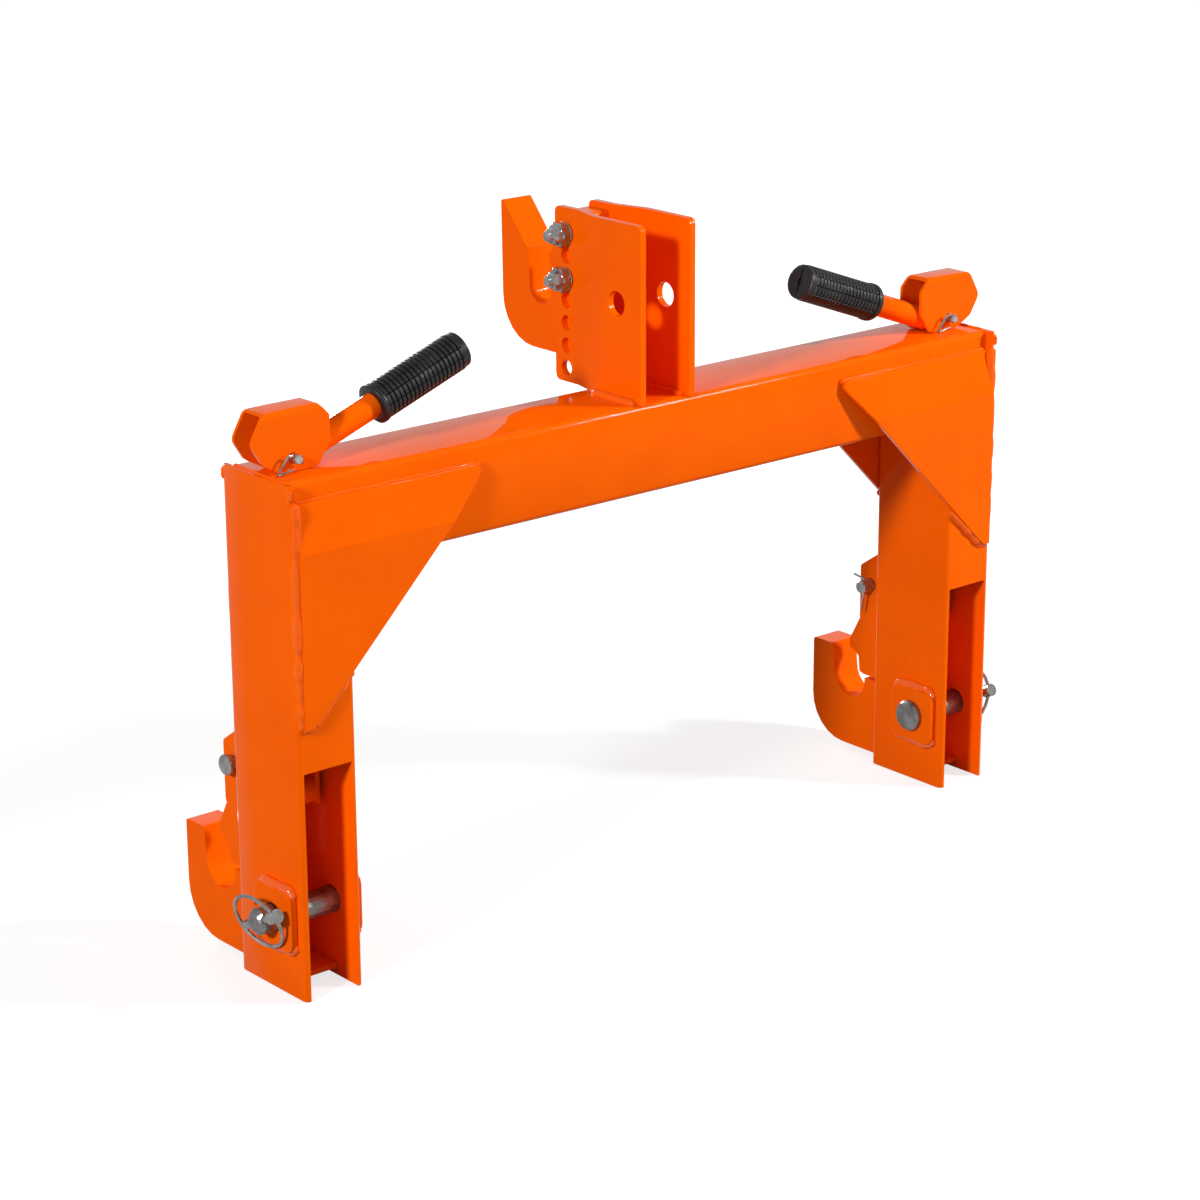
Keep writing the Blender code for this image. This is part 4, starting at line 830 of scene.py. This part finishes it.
def dressed_grip(side, sign):
    """Moulded grip on the lever's bar, open at its foot and slit across its end."""
    direction = Vector((-sign * cos(BAR_SLOPE), 0, sin(BAR_SLOPE)))
    foot = Vector((sign * LEVER_X, middle("beam").y, LEVER_HINGE_HEIGHT - BAR_DROP))
    start = foot + direction * (GRIP_REACH + GRIP_END_GAP - GRIP_LENGTH)
    across = Vector((0, 1, 0))
    up = direction.cross(across)
    shape = bmesh.new()
    rings = []

    def ring_at(distance, radius_of, slit=0.0):
        ring = []
        for k in range(GRIP_SEGMENTS):
            angle = 2 * pi * k / GRIP_SEGMENTS
            radius = radius_of(angle)
            dip = slit if radius * abs(cos(angle)) < GRIP_SLIT_HALF_WIDTH else 0.0
            ring.append(shape.verts.new(start + direction * (distance - dip)
                                        + (across * cos(angle) + up * sin(angle)) * radius))
        rings.append(ring)

    ring_at(GRIP_BORE_DEPTH, lambda angle: GRIP_BORE)
    ring_at(0.0, lambda angle: GRIP_BORE)
    for i in range(GRIP_ROWS + 1):
        distance = GRIP_LENGTH * i / GRIP_ROWS
        ring_at(distance, lambda angle: grip_radius(distance, angle))
    for radius, distance, dip in GRIP_END_RINGS:
        ring_at(distance, lambda angle: radius, dip)
    for near, far in zip(rings, rings[1:]):
        for k in range(GRIP_SEGMENTS):
            shape.faces.new((near[k - 1], near[k], far[k], far[k - 1]))
    shape.faces.new(rings[-1])
    mesh = mesh_from("moulded_grip_" + side, shape)
    soften(mesh, GRIP_SOFTEN_ANGLE)
    grip = put("moulded_grip_" + side, mesh, GRIP, BODY_OF["grip_" + side])
    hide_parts("grip_" + side)


for side, sign in SIDES:
    dressed_grip(side, sign)


# Return springs

SPRING_SOFTEN_ANGLE = radians(50)


def dressed_spring(side):
    """Coil between its seat and the leg's top, a smooth-shaded copy of the CAD spring riding on its
    body.
    """
    node = "latch_spring_" + side
    shape = bmesh.new()
    shape.from_mesh(frame["nodes"][node].data)
    mesh = mesh_from("coil_" + side, shape)
    soften(mesh, SPRING_SOFTEN_ANGLE)
    coil = put("coil_" + side, mesh, SPRING, BODY_OF[node])
    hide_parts(node)
    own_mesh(coil)


for side, _ in SIDES:
    dressed_spring(side)


# Floor, light and camera

FLOOR_GLOW = 0.765
FLOOR_GLOW_FAR = 0.97
FLOOR_FADE_START = 0.55
FLOOR_FADE_END = 1.3
FLOOR_GREYS = ((0.30, 0.30, 0.30, 1.0), (0.31, 0.31, 0.31, 1.0))
SKY_FOR_LIGHT = 0.13
SKY_SEEN = 1.0
SHARE_IN_GLOSS = 0.45
FLOOR_REACH = 12.0
FLOOR_SQUARES = 8
FLOOR_DROP = 0.0005
# Name, place, width in metres and power in watts
LAMPS = (
    ("left", (-4.1, -1.2, 2.2), 0.6, 152.0),
    ("right", (2.1, -2.1, 1.9), 0.4, 106.0),
    ("back", (0.6, 2.8, 1.1), 0.8, 45.0),
)
LAMPS_AIM = Vector((0, 0, 0.25))


def seen_strength(tree, unseen, seen):
    """One value for rays from the camera and from glossy faces, another for the rest."""
    rays = add(tree, "ShaderNodeLightPath")
    either = add(tree, "ShaderNodeMath", operation="MAXIMUM")
    glossy = spread(tree, rays, "Is Glossy Ray", 0.0, SHARE_IN_GLOSS)
    tree.links.new(rays.outputs["Is Camera Ray"], either.inputs[0])
    tree.links.new(glossy.outputs["Result"], either.inputs[1])
    return spread(tree, either, "Value", unseen, seen), "Result"


def floor_material():
    """Grey matt floor that also glows for the camera, more so far away."""
    material = bpy.data.materials.new("studio_floor")
    material.use_nodes = True
    tree = material.node_tree
    shader = tree.nodes["Principled BSDF"]
    shader.inputs["Roughness"].default_value = 0.9
    shader.inputs["Specular IOR Level"].default_value = 0.0
    place = add(tree, "ShaderNodeTexCoord")
    cloud = pattern(tree, place, 3.0)
    link(tree, blend_of(tree, cloud, "Fac", *FLOOR_GREYS), "Color", shader, "Base Color")
    glow = add(tree, "ShaderNodeEmission")
    reach = add(tree, "ShaderNodeVectorMath", operation="LENGTH")
    link(tree, place, "Object", reach, 0)
    fade = spread(tree, reach, "Value", FLOOR_GLOW, FLOOR_GLOW_FAR)
    fade.inputs["From Min"].default_value = FLOOR_FADE_START
    fade.inputs["From Max"].default_value = FLOOR_FADE_END
    link(tree, fade, "Result", glow, "Strength")
    both = add(tree, "ShaderNodeAddShader")
    choose = add(tree, "ShaderNodeMixShader")
    seen, output = seen_strength(tree, 0.0, 1.0)
    link(tree, seen, output, choose, 0)
    tree.links.new(shader.outputs[0], both.inputs[0])
    tree.links.new(glow.outputs[0], both.inputs[1])
    tree.links.new(shader.outputs[0], choose.inputs[1])
    tree.links.new(both.outputs[0], choose.inputs[2])
    tree.links.new(choose.outputs[0], tree.nodes["Material Output"].inputs["Surface"])
    return material


def studio():
    """Floor, white surroundings and three lamps."""
    shape = bmesh.new()
    bmesh.ops.create_grid(shape, x_segments=FLOOR_SQUARES, y_segments=FLOOR_SQUARES,
                          size=FLOOR_REACH)
    ground = bpy.data.objects.new("studio_floor", mesh_from("studio_floor", shape))
    WORLD.objects.link(ground)
    ground.location.z = -FLOOR_DROP
    ground.data.materials.append(floor_material())
    world = bpy.data.worlds.new("studio")
    bpy.context.scene.world = world
    world.use_nodes = True
    background = world.node_tree.nodes["Background"]
    background.inputs["Color"].default_value = (1.0, 1.0, 1.0, 1.0)
    link(world.node_tree, *seen_strength(world.node_tree, SKY_FOR_LIGHT, SKY_SEEN), background,
         "Strength")
    for name, place, size, power in LAMPS:
        lamp = bpy.data.lights.new(name, "AREA")
        lamp.shape = "DISK"
        lamp.size = size
        lamp.energy = power
        item = bpy.data.objects.new(name, lamp)
        WORLD.objects.link(item)
        item.location = place
        aim = LAMPS_AIM - Vector(place)
        item.rotation_euler = aim.to_track_quat("-Z", "Y").to_euler()


def camera():
    data = bpy.data.cameras.new("photo_camera")
    data.lens = CAMERA_LENS
    data.sensor_width = CAMERA_SENSOR
    data.sensor_fit = "HORIZONTAL"
    data.clip_end = CAMERA_CLIP_END
    item = bpy.data.objects.new("photo_camera", data)
    WORLD.objects.link(item)
    item.location = CAMERA_PLACE
    item.rotation_euler = CAMERA_TURN
    bpy.context.scene.camera = item


studio()
camera()
bpy.context.scene.view_settings.view_transform = "Standard"
